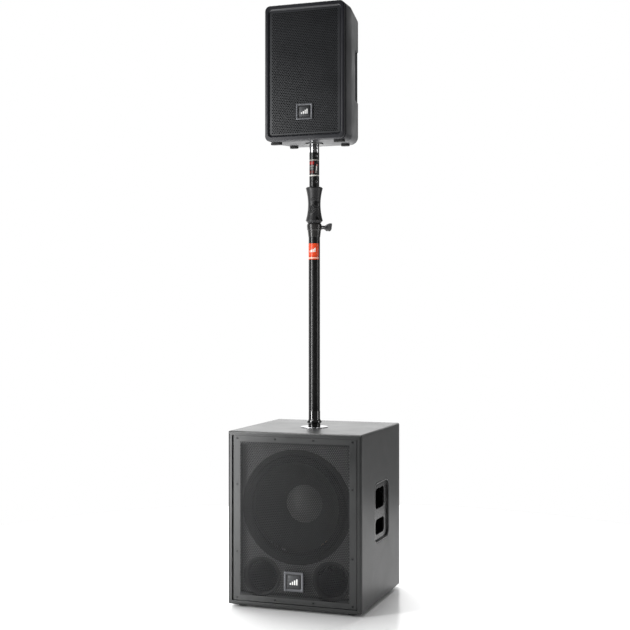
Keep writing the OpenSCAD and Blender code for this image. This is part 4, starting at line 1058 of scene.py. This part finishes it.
@dataclass
class ControlKnob:
    """A fluted knob with a pointer, and the scale printed round it."""

    node: str
    body: str
    still_body: str
    flutes: int = 18
    ticks: int = 11

    def build(self) -> list[bpy.types.Object]:
        """Make the knob, its pointer and its scale.

        The knob's radius at angle a and height h is R(h) * (1 - 0.035 *
        (1 - cos(flutes * a)) / 2 * s(h)), where s falls to nothing at its top.

        Returns:
            The finished pieces.
        """
        low, high = box_of(self.node)
        middle = (low + high) / 2
        radius, tall = (high[0] - low[0]) / 2, 0.012
        face = high[1] - tall
        profile = fillet([(radius, 0.0005), (radius, 0.002), (0.93 * radius, tall - 0.001), (0.8 * radius, tall)],
                         0.0012, 5)
        profile = np.concatenate([profile, [[0.4 * radius, tall - 0.0003], [0.05 * radius, tall - 0.0004]]])
        angle = np.linspace(0, 2 * math.pi, 144, endpoint=False)
        bite = np.clip((tall - profile[:, 1:]) / tall, 0, 1) ** 0.3 * (profile[:, :1] > 0.6 * radius)
        r = profile[:, :1] * (1 - 0.035 * (1 - np.cos(self.flutes * angle)) / 2 * bite)
        loops = np.stack([r * np.cos(angle), r * np.sin(angle),
                          np.broadcast_to(-profile[:, 1:], r.shape)], axis=-1)
        knob = Surface().loft(Facing.REAR.place(loops, (middle[0], face, middle[2])))
        knob.rect_stack([(0.005, 0.005, 0.0025, 0.0135), (0.005, 0.005, 0.0025, -0.001)],
                        (middle[0], face, middle[2]), Facing.REAR)
        pointer = Surface().rect_stack([(0.0011, 0.0058, 0.0004, 0.0), (0.0011, 0.0058, 0.0004, -0.0006)],
                                       (middle[0], face + tall - 0.0002, middle[2] + 0.0052), Facing.REAR, steps=2)
        scale = Surface()
        for turn in np.radians(np.linspace(-150, 150, self.ticks)):
            flat = rounded_rect(0.0008, 0.0028, 0.0002, 2) + (0.0, radius + 0.0040)
            spun = np.stack([flat[:, 0] * math.cos(turn) + flat[:, 1] * math.sin(turn),
                             -flat[:, 0] * math.sin(turn) + flat[:, 1] * math.cos(turn)], 1)
            loops = np.stack([np.column_stack([spun, np.full(len(spun), depth)]) for depth in (0.0, -0.00012)])
            scale.loft(Facing.REAR.place(loops, (middle[0], face - 0.0002, middle[2])))
        return [knob.piece(f"{self.node}_turned", "knob_plastic", self.body, (self.node,)),
                pointer.piece(f"{self.node}_pointer", "badge_ink", self.body),
                scale.piece(f"{self.node}_scale", "badge_ink", self.still_body)]


@dataclass
class BassCabinet:
    """The box on the floor: panels, grille, badge, handles, driver and rear plate."""

    body: str = "bass_cabinet"
    edge: float = 0.0085
    sheet: PerforatedSheet = field(default_factory=lambda: PerforatedSheet(
        "bass_grille_sheet", "sub_grille", "bass_cabinet", "grille_paint", 0.0066, 0.0056, 0.0225, 0.0185,
        "grille_frame_paint"))
    badge: Badge = field(default_factory=lambda: Badge("bass_badge", "sub_badge", "bass_cabinet"))
    cone: Cone = field(default_factory=lambda: Cone(
        "bass", "sub_woofer_cone", "bass_cone", "bass_cabinet", 0.150, 0.0385, 0.065, -0.2045, 0.098,
        0.1511, 0.1791, -0.2095, "sub_woofer_surround"))
    knob: ControlKnob = field(default_factory=lambda: ControlKnob(
        "sub_level_knob", "bass_level_knob", "bass_cabinet"))

    def build(self) -> None:
        """Build each piece of the cabinet."""
        high = box_of("sub_top_panel")[1]
        low_z, under_top = box_of("sub_bottom_panel")[1][2], box_of("sub_top_panel")[0][2]

        def rim(middle: Vector) -> bool:
            """Whether an edge is on the cabinet's outline, at its front or its back."""
            outside = (middle.z > under_top + 0.0005 or middle.z < low_z - 0.0005
                       or abs(middle.x) > high[0] - 0.0005)
            return abs(middle.y) > high[1] - 0.0002 and outside

        for node in ("sub_top_panel", "sub_bottom_panel", "sub_left_panel", "sub_right_panel"):
            eased_copy(node, [(self.edge, rim)], "cabinet_paint", self.body, shortest=0.0004)
        # The handles' paler base is partly painted highlight on their rims.
        eased_copy("sub_side_handles", [(0.0024, lambda middle: abs(middle.x) > high[0] - 0.0002),
                                        (0.0008, lambda middle: abs(middle.x) > high[0] - 0.0120)],
                   "handle_paled_for_highlight", self.body, shortest=0.0004)
        eased_copy("sub_amp_plate", [(0.0008, lambda middle: True)], "plate_paint", self.body)
        self.sheet.build()
        self.badge.build()
        self.cone.build()
        self.knob.build()


@dataclass
class HandGrip:
    """The hourglass sleeve at the pole's clamp, with finger ribs, a button well and a screw recess."""

    node: str = "pole_grip"
    body: str = "bass_cabinet"
    end_radius: float = 0.030
    waist_radius: float = 0.0218
    neck_radius: float = 0.0216
    face_angle: float = 43.0
    rib_height: float = 0.0017
    rib_width: float = 0.0012

    def outer(self, angle: Array, height: Array, z0: float, z1: float, waist_z: float, button: float,
              screw_z: float) -> Array:
        """Radius of the sleeve's outside.

        It is the waist's radius plus a square of the distance from the waist, cut
        off by a cone at the lower end and rounded at the upper end. Ribs are
        bell-shaped ridges along circles round the button. The button's well and the
        screw's recess are level floors with steep sides.

        Args:
            angle: Angle round the pole from the button's side, in radians.
            height: Height, in the row frame.
            z0: The sleeve's lower end.
            z1: The sleeve's upper end.
            waist_z: The waist's height, where the button is.
            button: The button's radius.
            screw_z: The screw's height.

        Returns:
            The radius at each point.
        """
        low_z, high_z = z0 + 0.009, z1 - 0.006
        reach = max(waist_z - low_z, high_z - waist_z)
        flank = self.waist_radius + (self.end_radius - self.waist_radius) * ((height - waist_z) / reach) ** 2
        chamfer = self.neck_radius + (height - z0) * (self.end_radius - self.neck_radius) / 0.009
        upper = self.end_radius - 0.005 * np.clip((height - high_z) / 0.006, 0, 1) ** 2
        base = -np.log(sum(np.exp(-4500 * side) for side in (flank, chamfer, upper))) / 4500
        across, up = base * angle, height - waist_z
        distance, turn = np.hypot(across, up), np.degrees(np.arctan2(up, across)) % 360
        ribs = np.zeros_like(base)
        for ring, start, end in ((0.0165, 190, 262), (0.0215, 194, 262), (0.0265, 200, 258), (0.0315, 206, 254),
                                 (0.0365, 212, 248), (0.0165, 100, 160), (0.0215, 102, 154), (0.0265, 106, 146)):
            span = np.clip((turn - start) / 8, 0, 1) * np.clip((end - turn) / 8, 0, 1)
            ribs += self.rib_height * np.exp(-((distance - ring) / self.rib_width) ** 2) * span
        well = np.clip((button + 0.0009 - distance) / 0.0007, 0, 1)
        recess = np.clip((0.0065 - np.hypot(across, height - screw_z)) / 0.0008, 0, 1)
        radius = np.minimum(base + ribs, self.end_radius)
        radius = radius + well * (np.minimum(0.0205, radius) - radius)
        return radius + recess * (np.minimum(0.0232, radius) - radius)

    def build(self) -> bpy.types.Object:
        """Make the sleeve round the tube.

        Returns:
            The finished sleeve.
        """
        low, high = box_of(self.node)
        button_low, button_high = box_of("pole_thumb_button")
        middle = (low + high) / 2
        heights = np.linspace(low[2], high[2], 190)
        angle = np.linspace(-math.pi, math.pi, 260, endpoint=False)
        grid_angle, grid_height = np.meshgrid(angle, heights)
        radius = self.outer(grid_angle, grid_height, low[2], high[2], middle_of("pole_thumb_button")[2],
                            (button_high[2] - button_low[2]) / 2, middle_of("pole_grip_screw")[2])
        bore, cap_bore, cap_z = 0.02002, 0.0177, box_of("pole_outer_tube")[1][2]
        inner = [(cap_bore, high[2]), (cap_bore, cap_z), (bore, cap_z), (bore, low[2])]
        rows = [np.stack([radius * np.sin(grid_angle), -radius * np.cos(grid_angle), grid_height], axis=-1)]
        for r, z in inner:
            rows.append(np.stack([r * np.sin(angle), -r * np.cos(angle), np.full_like(angle, z)], axis=-1)[None])
        loops = np.concatenate(rows) + np.array([middle[0], middle[1], 0.0])
        sleeve = Surface().loft(loops, wrap=True).turned(self.face_angle, middle)
        return sleeve.piece("pole_hand_grip", "grip_rubber", self.body, (self.node,), smooth=50.0)


@dataclass
class WingKnob:
    """The clamp's screw with its hub and its two-lobed wing."""

    node: str = "pole_wing_knob"
    body: str = "wing_knob"
    tilt: float = 14.0
    half_thick: float = 0.0036
    outline: tuple = (
        (29, 5.6), (36, 5.4), (42, 7.4), (48, 10.8), (54, 13.3), (60, 14.3), (64.2, 13.6), (65.8, 10.8),
        (65.0, 5), (63.8, 0), (63.2, -5), (61, -10), (57.4, -13.4), (54.2, -14.2), (51.6, -13.3), (49.4, -12.3),
        (47.0, -13.4), (44.4, -13.0), (41, -10.2), (37, -6.8), (33, -5.8), (29, -5.7))

    def build(self) -> bpy.types.Object:
        """Make the screw, the hub and the wing.

        The wing's outline is a closed curve through its corners: between corners b
        and c with neighbours a and d, the point at share t is half of 2b + (c - a) t
        + (2a - 5b + 4c - d) t^2 + (3b - a - 3c + d) t^3.

        Returns:
            The finished knob.
        """
        centre = middle_of("pole_clamp_pad")
        corner = np.array(self.outline[::-1], float) * 0.001
        a, b, c, d = (np.roll(corner, shift, axis=0)[:, None] for shift in (1, 0, -1, -2))
        t = np.linspace(0, 1, 6, endpoint=False)[None, :, None]
        curve = 0.5 * (2 * b + (c - a) * t + (2 * a - 5 * b + 4 * c - d) * t ** 2
                       + (3 * b - a - 3 * c + d) * t ** 3)
        thick = self.half_thick
        rounding = [(0.0024, thick), (0.0012, thick - 0.0003), (0.0003, thick - 0.0012), (0.0, thick - 0.0026)]
        edge = [(inset, -depth) for inset, depth in rounding] + rounding[::-1]
        wing = Surface().slab(curve.reshape(-1, 2), edge, (0, 0, 0), Facing.FRONT)
        turn = math.radians(self.tilt)
        matrix = np.array([[1, 0, 0], [0, math.cos(turn), -math.sin(turn)], [0, math.sin(turn), math.cos(turn)]])
        wing.points = [points @ matrix.T + (0, centre[1], centre[2]) for points in wing.points]
        start, hub = box_of(self.node)[0][0], 0.029
        profile = [(0.0, -start), (0.0036, -start), (0.004, -start - 0.0004), (0.004, -hub), (0.0062, -hub),
                   (0.0066, -hub - 0.001), (0.0056, -hub - 0.020), (0.0048, -hub - 0.0222), (0.0, -hub - 0.0226)]
        wing.lathe(np.array(profile), (0, centre[1], centre[2]), Facing.RIGHT, 40)
        return wing.piece("pole_wing_screw", "grip_rubber", self.body, (self.node,), smooth=40.0)


@dataclass
class Pole:
    """The telescopic pole between the two cabinets."""

    body: str = "bass_cabinet"
    plug: float = 0.018
    stud: float = 0.01005
    pin_drops: tuple[float, float] = (0.103, 0.0122)
    pin_lining: tuple = ((0.0039, 0.00005), (0.0039, -0.0017), (0.0031, -0.0017), (0.0031, 0.00005))
    grip: HandGrip = field(default_factory=HandGrip)
    wing: WingKnob = field(default_factory=WingKnob)

    def turned_part(self, name: str, node: str, finish: str, corners: Sequence[tuple[float, float]], base: float,
                    radius: float = 0.001, bore: bool = True) -> bpy.types.Object:
        """Make a part of the pole from its turned profile.

        Args:
            name: The piece's name.
            node: The CAD node that it stands for.
            finish: The material slot.
            corners: Radius and height of each corner, from the base.
            base: Height of the base in the row frame.
            radius: Rounding of the corners.
            bore: Whether the profile is a closed loop round a bore.

        Returns:
            The finished piece.
        """
        axis = middle_of("pole_outer_tube")
        profile = fillet(corners, radius, 4, closed=bore)
        return Surface().lathe(profile, (axis[0], axis[1], base), Facing.UP, 128, wrap=bore).piece(
            name, finish, self.body, (node,), smooth=38.0)

    def build(self) -> None:
        """Build each piece of the pole."""
        top = box_of("sub_top_panel")[1][2]
        tube = (box_of("pole_outer_tube")[1][0] - box_of("pole_outer_tube")[0][0]) / 2
        self.turned_part("pole_socket_plate", "pole_socket", "socket_steel", [
            (self.plug, -0.050), (self.plug, 0.0025), (0.0470, 0.0025), (0.0485, 0.0012), (0.0485, 0.0),
            (0.0240, 0.0), (0.0240, -0.074), (self.stud, -0.074), (self.stud, -0.050)], top, 0.0006)
        self.turned_part("pole_coupler_turned", "pole_coupler", "sleeve_gloss", [
            (0.0, -0.070), (0.010, -0.070), (0.010, -0.049), (0.0179, -0.049), (0.0179, 0.0025),
            (tube + 0.0015, 0.0025), (tube + 0.0015, 0.014), (tube + 0.0052, 0.0160), (tube + 0.0064, 0.0192),
            (tube + 0.0058, 0.0232), (tube + 0.0024, 0.0262), (tube + 0.0009, 0.029), (tube + 0.0009, 0.057),
            (tube + 0.00002, 0.057), (tube + 0.00002, 0.029), (0.0, 0.029)], top, 0.0009, bore=False)
        low, high = box_of("pole_collar")
        r = 0.026
        tall = high[2] - low[2]
        collar = fillet([(tube + 0.00002, 0.0), (tube + 0.0009, 0.0), (r - 0.0027, 0.023), (r - 0.0013, 0.0242),
                         (r - 0.0004, 0.0275), (r - 0.0004, 0.0305), (r - 0.0012, 0.0312), (r - 0.0012, 0.0322),
                         (r, 0.0330), (r, tall - 0.0048), (r - 0.0030, tall), (tube + 0.00002, tall)], 0.0012, 5,
                        closed=True)
        axis = middle_of("pole_outer_tube")
        body = Surface().lathe(collar, (axis[0], axis[1], low[2]), Facing.UP, 160, wrap=True)
        clamp = middle_of("pole_clamp_pad")
        boss = fillet([(0.0041, -0.0214), (0.007, -0.0214), (0.007, -0.028), (0.0041, -0.028)], 0.0008, 4,
                      closed=True)
        body.lathe(boss, (axis[0], axis[1], clamp[2]), Facing.RIGHT, 48, wrap=True)
        body.piece("pole_clamp_collar", "collar_plastic", self.body, ("pole_collar",), smooth=38.0)
        self.grip.build()
        self.wing.build()
        self.thumb_button()
        self.hole_edges()

    def hole_edges(self) -> None:
        """Line the upper tube's two pin holes with bare metal.

        At angle a a corner of a lining is at (r cos a, r sin a) on the hole's face and
        as deep as the tube's surface there, the square root of R^2 - x^2, plus its rise.
        """
        low, high = box_of("pole_inner_tube")
        axis, outside = middle_of("pole_outer_tube"), (high[0] - low[0]) / 2
        angle = np.linspace(0.0, math.tau, 40, endpoint=False)
        radius, rise = np.array(self.pin_lining).T[:, :, None]
        across, up = radius * np.cos(angle), radius * np.sin(angle)
        depth = np.sqrt(outside**2 - across**2) + rise
        linings = Surface()
        for drop in self.pin_drops:
            linings.loft(np.stack([axis[0] + across, axis[1] - depth, high[2] - drop + up], axis=-1), wrap=True)
        linings.turned(self.grip.face_angle, axis).piece("pole_pin_hole_edges", "hole_edge", "upper_tube")

    def thumb_button(self) -> bpy.types.Object:
        """Make the domed lock button, whose height falls as the square of its radius.

        Returns:
            The finished button.
        """
        low, high = box_of("pole_thumb_button")
        middle, axis = (low + high) / 2, middle_of("pole_outer_tube")
        radius = (high[2] - low[2]) / 2
        start, rim = 0.0190, 0.0216
        r = np.linspace(radius - 0.0008, 0.0, 20)
        dome = np.stack([r, rim + 0.0018 * (1 - (r / radius) ** 2)], 1)
        side = np.array([[0.0, start], [radius - 0.0003, start], [radius, start + 0.0003], [radius, rim - 0.0005],
                         [radius - 0.0002, rim - 0.0001]])
        profile = np.concatenate([side, dome]) * (1, -1)
        button = Surface().lathe(profile, (axis[0], axis[1], middle[2]), Facing.FRONT, 72)
        return button.turned(self.grip.face_angle, axis).piece(
            "pole_lock_button", "knob_plastic", "thumb_button", ("pole_thumb_button",), smooth=40.0)


@dataclass
class TopCabinet:
    """The small moulded cabinet on the pole."""

    body: str = "top_cabinet"
    sheet: PerforatedSheet = field(default_factory=lambda: PerforatedSheet(
        "top_grille_sheet", "top_grille", "top_cabinet", "top_grille_paint", 0.0065, 0.0050, 0.0045, 0.0045))
    badge: Badge = field(default_factory=lambda: Badge("top_badge", "top_badge", "top_cabinet"))
    cone: Cone = field(default_factory=lambda: Cone(
        "top", "top_woofer_cone", "top_cone", "top_cabinet", 0.078, 0.025, 0.033, -0.1135, 0.037,
        0.0791, 0.0959, -0.1175))
    knob: ControlKnob = field(default_factory=lambda: ControlKnob(
        "top_level_knob", "top_level_knob", "top_cabinet"))

    def build(self) -> None:
        """Build each piece of the cabinet."""
        low, high = box_of("top_front_housing")
        grille_low, grille_high = box_of("top_grille")
        middle_z, inside_x = (low[2] + high[2]) / 2, grille_high[0] + 0.009
        inside_z = (grille_high[2] - grille_low[2]) / 2 + 0.010

        def bezel_outline(middle: Vector) -> bool:
            """Whether an edge runs round the outside of the bezel's face."""
            return middle.y < low[1] + 0.0002 and (abs(middle.x) > inside_x or abs(middle.z - middle_z) > inside_z)

        eased_copy("top_front_housing", [(0.0040, bezel_outline), (0.0022, lambda at: at.y < low[1] + 0.0002),
                                         (0.0010, lambda at: at.y < low[1] + 0.0130)],
                   "housing_plastic", self.body, shortest=0.0006)
        rear_low, rear_high = box_of("top_rear_housing")
        eased_copy("top_rear_housing", [(0.0020, lambda at: at.y < rear_low[1] + 0.0002),
                                        (0.0030, lambda at: at.y > rear_high[1] - 0.0400)],
                   "housing_plastic", self.body, shortest=0.0012)
        eased_copy("top_amp_plate", [(0.0008, lambda at: True)], "plate_paint", self.body)
        self.foam(grille_low, grille_high).piece("top_grille_foam", "grille_foam", self.body)
        # The groove's near-black ring is painted shade, not a part of the cabinet.
        self.groove(low, high, rear_low[1]).piece("top_groove_painted_shade", "groove_painted_shade", self.body)
        self.sheet.build()
        self.badge.build()
        self.cone.build()
        self.knob.build()

    def foam(self, low: Array, high: Array) -> Surface:
        """The thin foam behind the grille, a flat stack of rounded rectangles.

        Args:
            low: The grille's lowest corner.
            high: The grille's highest corner.

        Returns:
            The foam's surface.
        """
        width, height = high[0] - low[0] - 0.004, high[2] - low[2] - 0.004
        rows = [(width, height, 0.006, 0.0001), (width, height, 0.006, 0.0009), (width, height, 0.006, 0.0012)]
        return Surface().rect_stack(rows, ((low[0] + high[0]) / 2, high[1], (low[2] + high[2]) / 2))

    def groove(self, low: Array, high: Array, back: float) -> Surface:
        """Painted shade in the groove behind the bezel: a near-black closed ring of rectangles.

        Args:
            low: The front housing's lowest corner.
            high: The front housing's highest corner.
            back: Where the groove ends and the rear housing starts.

        Returns:
            The ring's surface.
        """
        width, height, front = high[0] - low[0], high[2] - low[2], low[1] + 0.0122
        rows = [(width - 2 * inset, height - 2 * inset, 0.019 - inset, depth) for inset, depth in (
            (0.0020, front), (0.0020, back - 0.0002), (0.0049, back - 0.0002), (0.0049, front))]
        return Surface().rect_stack(rows, ((low[0] + high[0]) / 2, 0.0, (low[2] + high[2]) / 2), wrap=True)


class LampKind(Enum):
    """Kinds of studio light."""

    PANEL = "AREA"
    SKY = "SUN"


@dataclass
class Lamp:
    """A soft light that looks at a point: a panel close by, or a broad even sky."""

    name: str
    kind: LampKind
    place: tuple[float, float, float]
    target: tuple[float, float, float]
    power: float
    size: tuple[float, float] = (1.0, 1.0)
    spread: float = 80.0

    def build(self) -> None:
        """Hang the light where the camera can't see it."""
        data = bpy.data.lights.new(self.name, self.kind.value)
        data.energy = self.power
        if self.kind is LampKind.PANEL:
            data.shape = "RECTANGLE"
            data.size, data.size_y = self.size
        else:
            data.angle = math.radians(self.spread)
        lamp = bpy.data.objects.new(self.name, data)
        bpy.context.collection.objects.link(lamp)
        lamp.location = self.place
        lamp.rotation_mode = "QUATERNION"
        ray = Vector([to - start for to, start in zip(self.target, self.place)])
        lamp.rotation_quaternion = ray.to_track_quat("-Z", "Y")
        lamp.visible_camera = False


@dataclass
class Studio:
    """Plain pale floor, white background, soft lights and the camera."""

    camera_place: tuple[float, float, float] = (1.3717, -3.9338, 1.0020)
    azimuth: float = 19.31
    pitch: float = -0.16
    lens: float = 67.6
    dim_glow: float = 0.12
    bright_glow: float = 1.7
    glow_from: tuple[float, float, float] = (-0.6, 0.8, 0.0)
    floor_reach: float = 2.0
    floor_sides: int = 96
    lamps: tuple[Lamp, ...] = (
        Lamp("sky", LampKind.SKY, (-1.1, 1.5, 4.0), (0.0, 0.0, 0.0), 3.8, spread=45.0),
        Lamp("left_strip", LampKind.PANEL, (-0.82, -1.2, 1.0), (-0.05, -0.2, 0.95), 28.0, (0.24, 2.0)),
        Lamp("right_strip", LampKind.PANEL, (1.3, 0.05, 1.15), (0.0, 0.0, 1.15), 3.8, (0.22, 1.2)),
        Lamp("right_low", LampKind.PANEL, (1.3, 0.7, 0.25), (0.24, 0.05, 0.25), 1.6, (0.6, 0.3)),
    )

    def build(self) -> None:
        """Set up the camera, the lights, the background and the floor."""
        scene = bpy.context.scene
        camera = bpy.data.objects.new("camera", bpy.data.cameras.new("camera"))
        bpy.context.collection.objects.link(camera)
        camera.data.lens, camera.data.sensor_width = self.lens, 36.0
        a, b = math.radians(self.azimuth), math.radians(self.pitch)
        ahead = Vector((-math.sin(a) * math.cos(b), math.cos(a) * math.cos(b), math.sin(b)))
        camera.location = self.camera_place
        camera.rotation_mode = "QUATERNION"
        camera.rotation_quaternion = ahead.to_track_quat("-Z", "Y")
        scene.camera = camera
        scene.view_settings.view_transform = "Standard"
        for lamp in self.lamps:
            lamp.build()
        scene.world = self.surroundings()
        self.floor()

    def surroundings(self) -> bpy.types.World:
        """White background, whose light is strong from one side and fades away from it.

        Returns:
            The world.
        """
        world = bpy.data.worlds.new("studio")
        world.use_nodes = True
        tree = world.node_tree
        tree.nodes.clear()
        end = tree.nodes.new("ShaderNodeOutputWorld")
        mix = tree.nodes.new("ShaderNodeMixShader")
        seen, lit = tree.nodes.new("ShaderNodeBackground"), tree.nodes.new("ShaderNodeBackground")
        path = tree.nodes.new("ShaderNodeLightPath")
        place = tree.nodes.new("ShaderNodeTexCoord")
        along = tree.nodes.new("ShaderNodeVectorMath")
        along.operation = "DOT_PRODUCT"
        along.inputs[1].default_value = self.glow_from
        ramp = tree.nodes.new("ShaderNodeMapRange")
        for key, number in (("From Min", 0.6), ("From Max", 0.92), ("To Min", self.dim_glow),
                            ("To Max", self.bright_glow)):
            ramp.inputs[key].default_value = number
        seen.inputs["Strength"].default_value = 1.0
        for background in (seen, lit):
            background.inputs["Color"].default_value = (1.0, 1.0, 1.0, 1.0)
        for start, socket in ((place.outputs["Generated"], along.inputs[0]),
                              (along.outputs["Value"], ramp.inputs["Value"]),
                              (ramp.outputs[0], lit.inputs["Strength"]),
                              (path.outputs["Is Camera Ray"], mix.inputs[0]), (lit.outputs[0], mix.inputs[1]),
                              (seen.outputs[0], mix.inputs[2]), (mix.outputs[0], end.inputs["Surface"])):
            tree.links.new(start, socket)
        return world

    def floor(self) -> None:
        """Lay the floor, a round pale disc, its rim at the same distance all the way round."""
        mesh = bpy.data.meshes.new("studio_floor")
        turn = np.linspace(0.0, math.tau, self.floor_sides, endpoint=False)
        rim = self.floor_reach * np.stack((np.cos(turn), np.sin(turn), 0.0 * turn), axis=1)
        mesh.from_pydata(rim.tolist(), [], [tuple(range(self.floor_sides))])
        canvas = Canvas("studio_floor")
        canvas.feed(canvas.shader.inputs["Base Color"], canvas.mix(canvas.noise(0.6, 2.0), tone(250, 250, 250),
                                                                   tone(254, 254, 254)))
        canvas.feed(canvas.shader.inputs["Roughness"], 0.2)
        mesh.materials.append(canvas.material)
        floor = bpy.data.objects.new("studio_floor", mesh)
        bpy.context.collection.objects.link(floor)


def dress_carried_nodes() -> None:
    """Give every CAD node that still shows the finish that the record names for it."""
    for part in frame["record"]["subparts"]:
        if not frame["nodes"][part["node"]].hide_render:
            dress(part["node"], NODE_FINISH.get(part["node"], part["material_slot"]))


def main() -> None:
    """Build the stack and report each piece."""
    logging.basicConfig(level=logging.INFO, format="%(name)s: %(message)s")
    Studio().build()
    BassCabinet().build()
    Pole().build()
    TopCabinet().build()
    dress_carried_nodes()


if __name__ == "__main__":
    main()
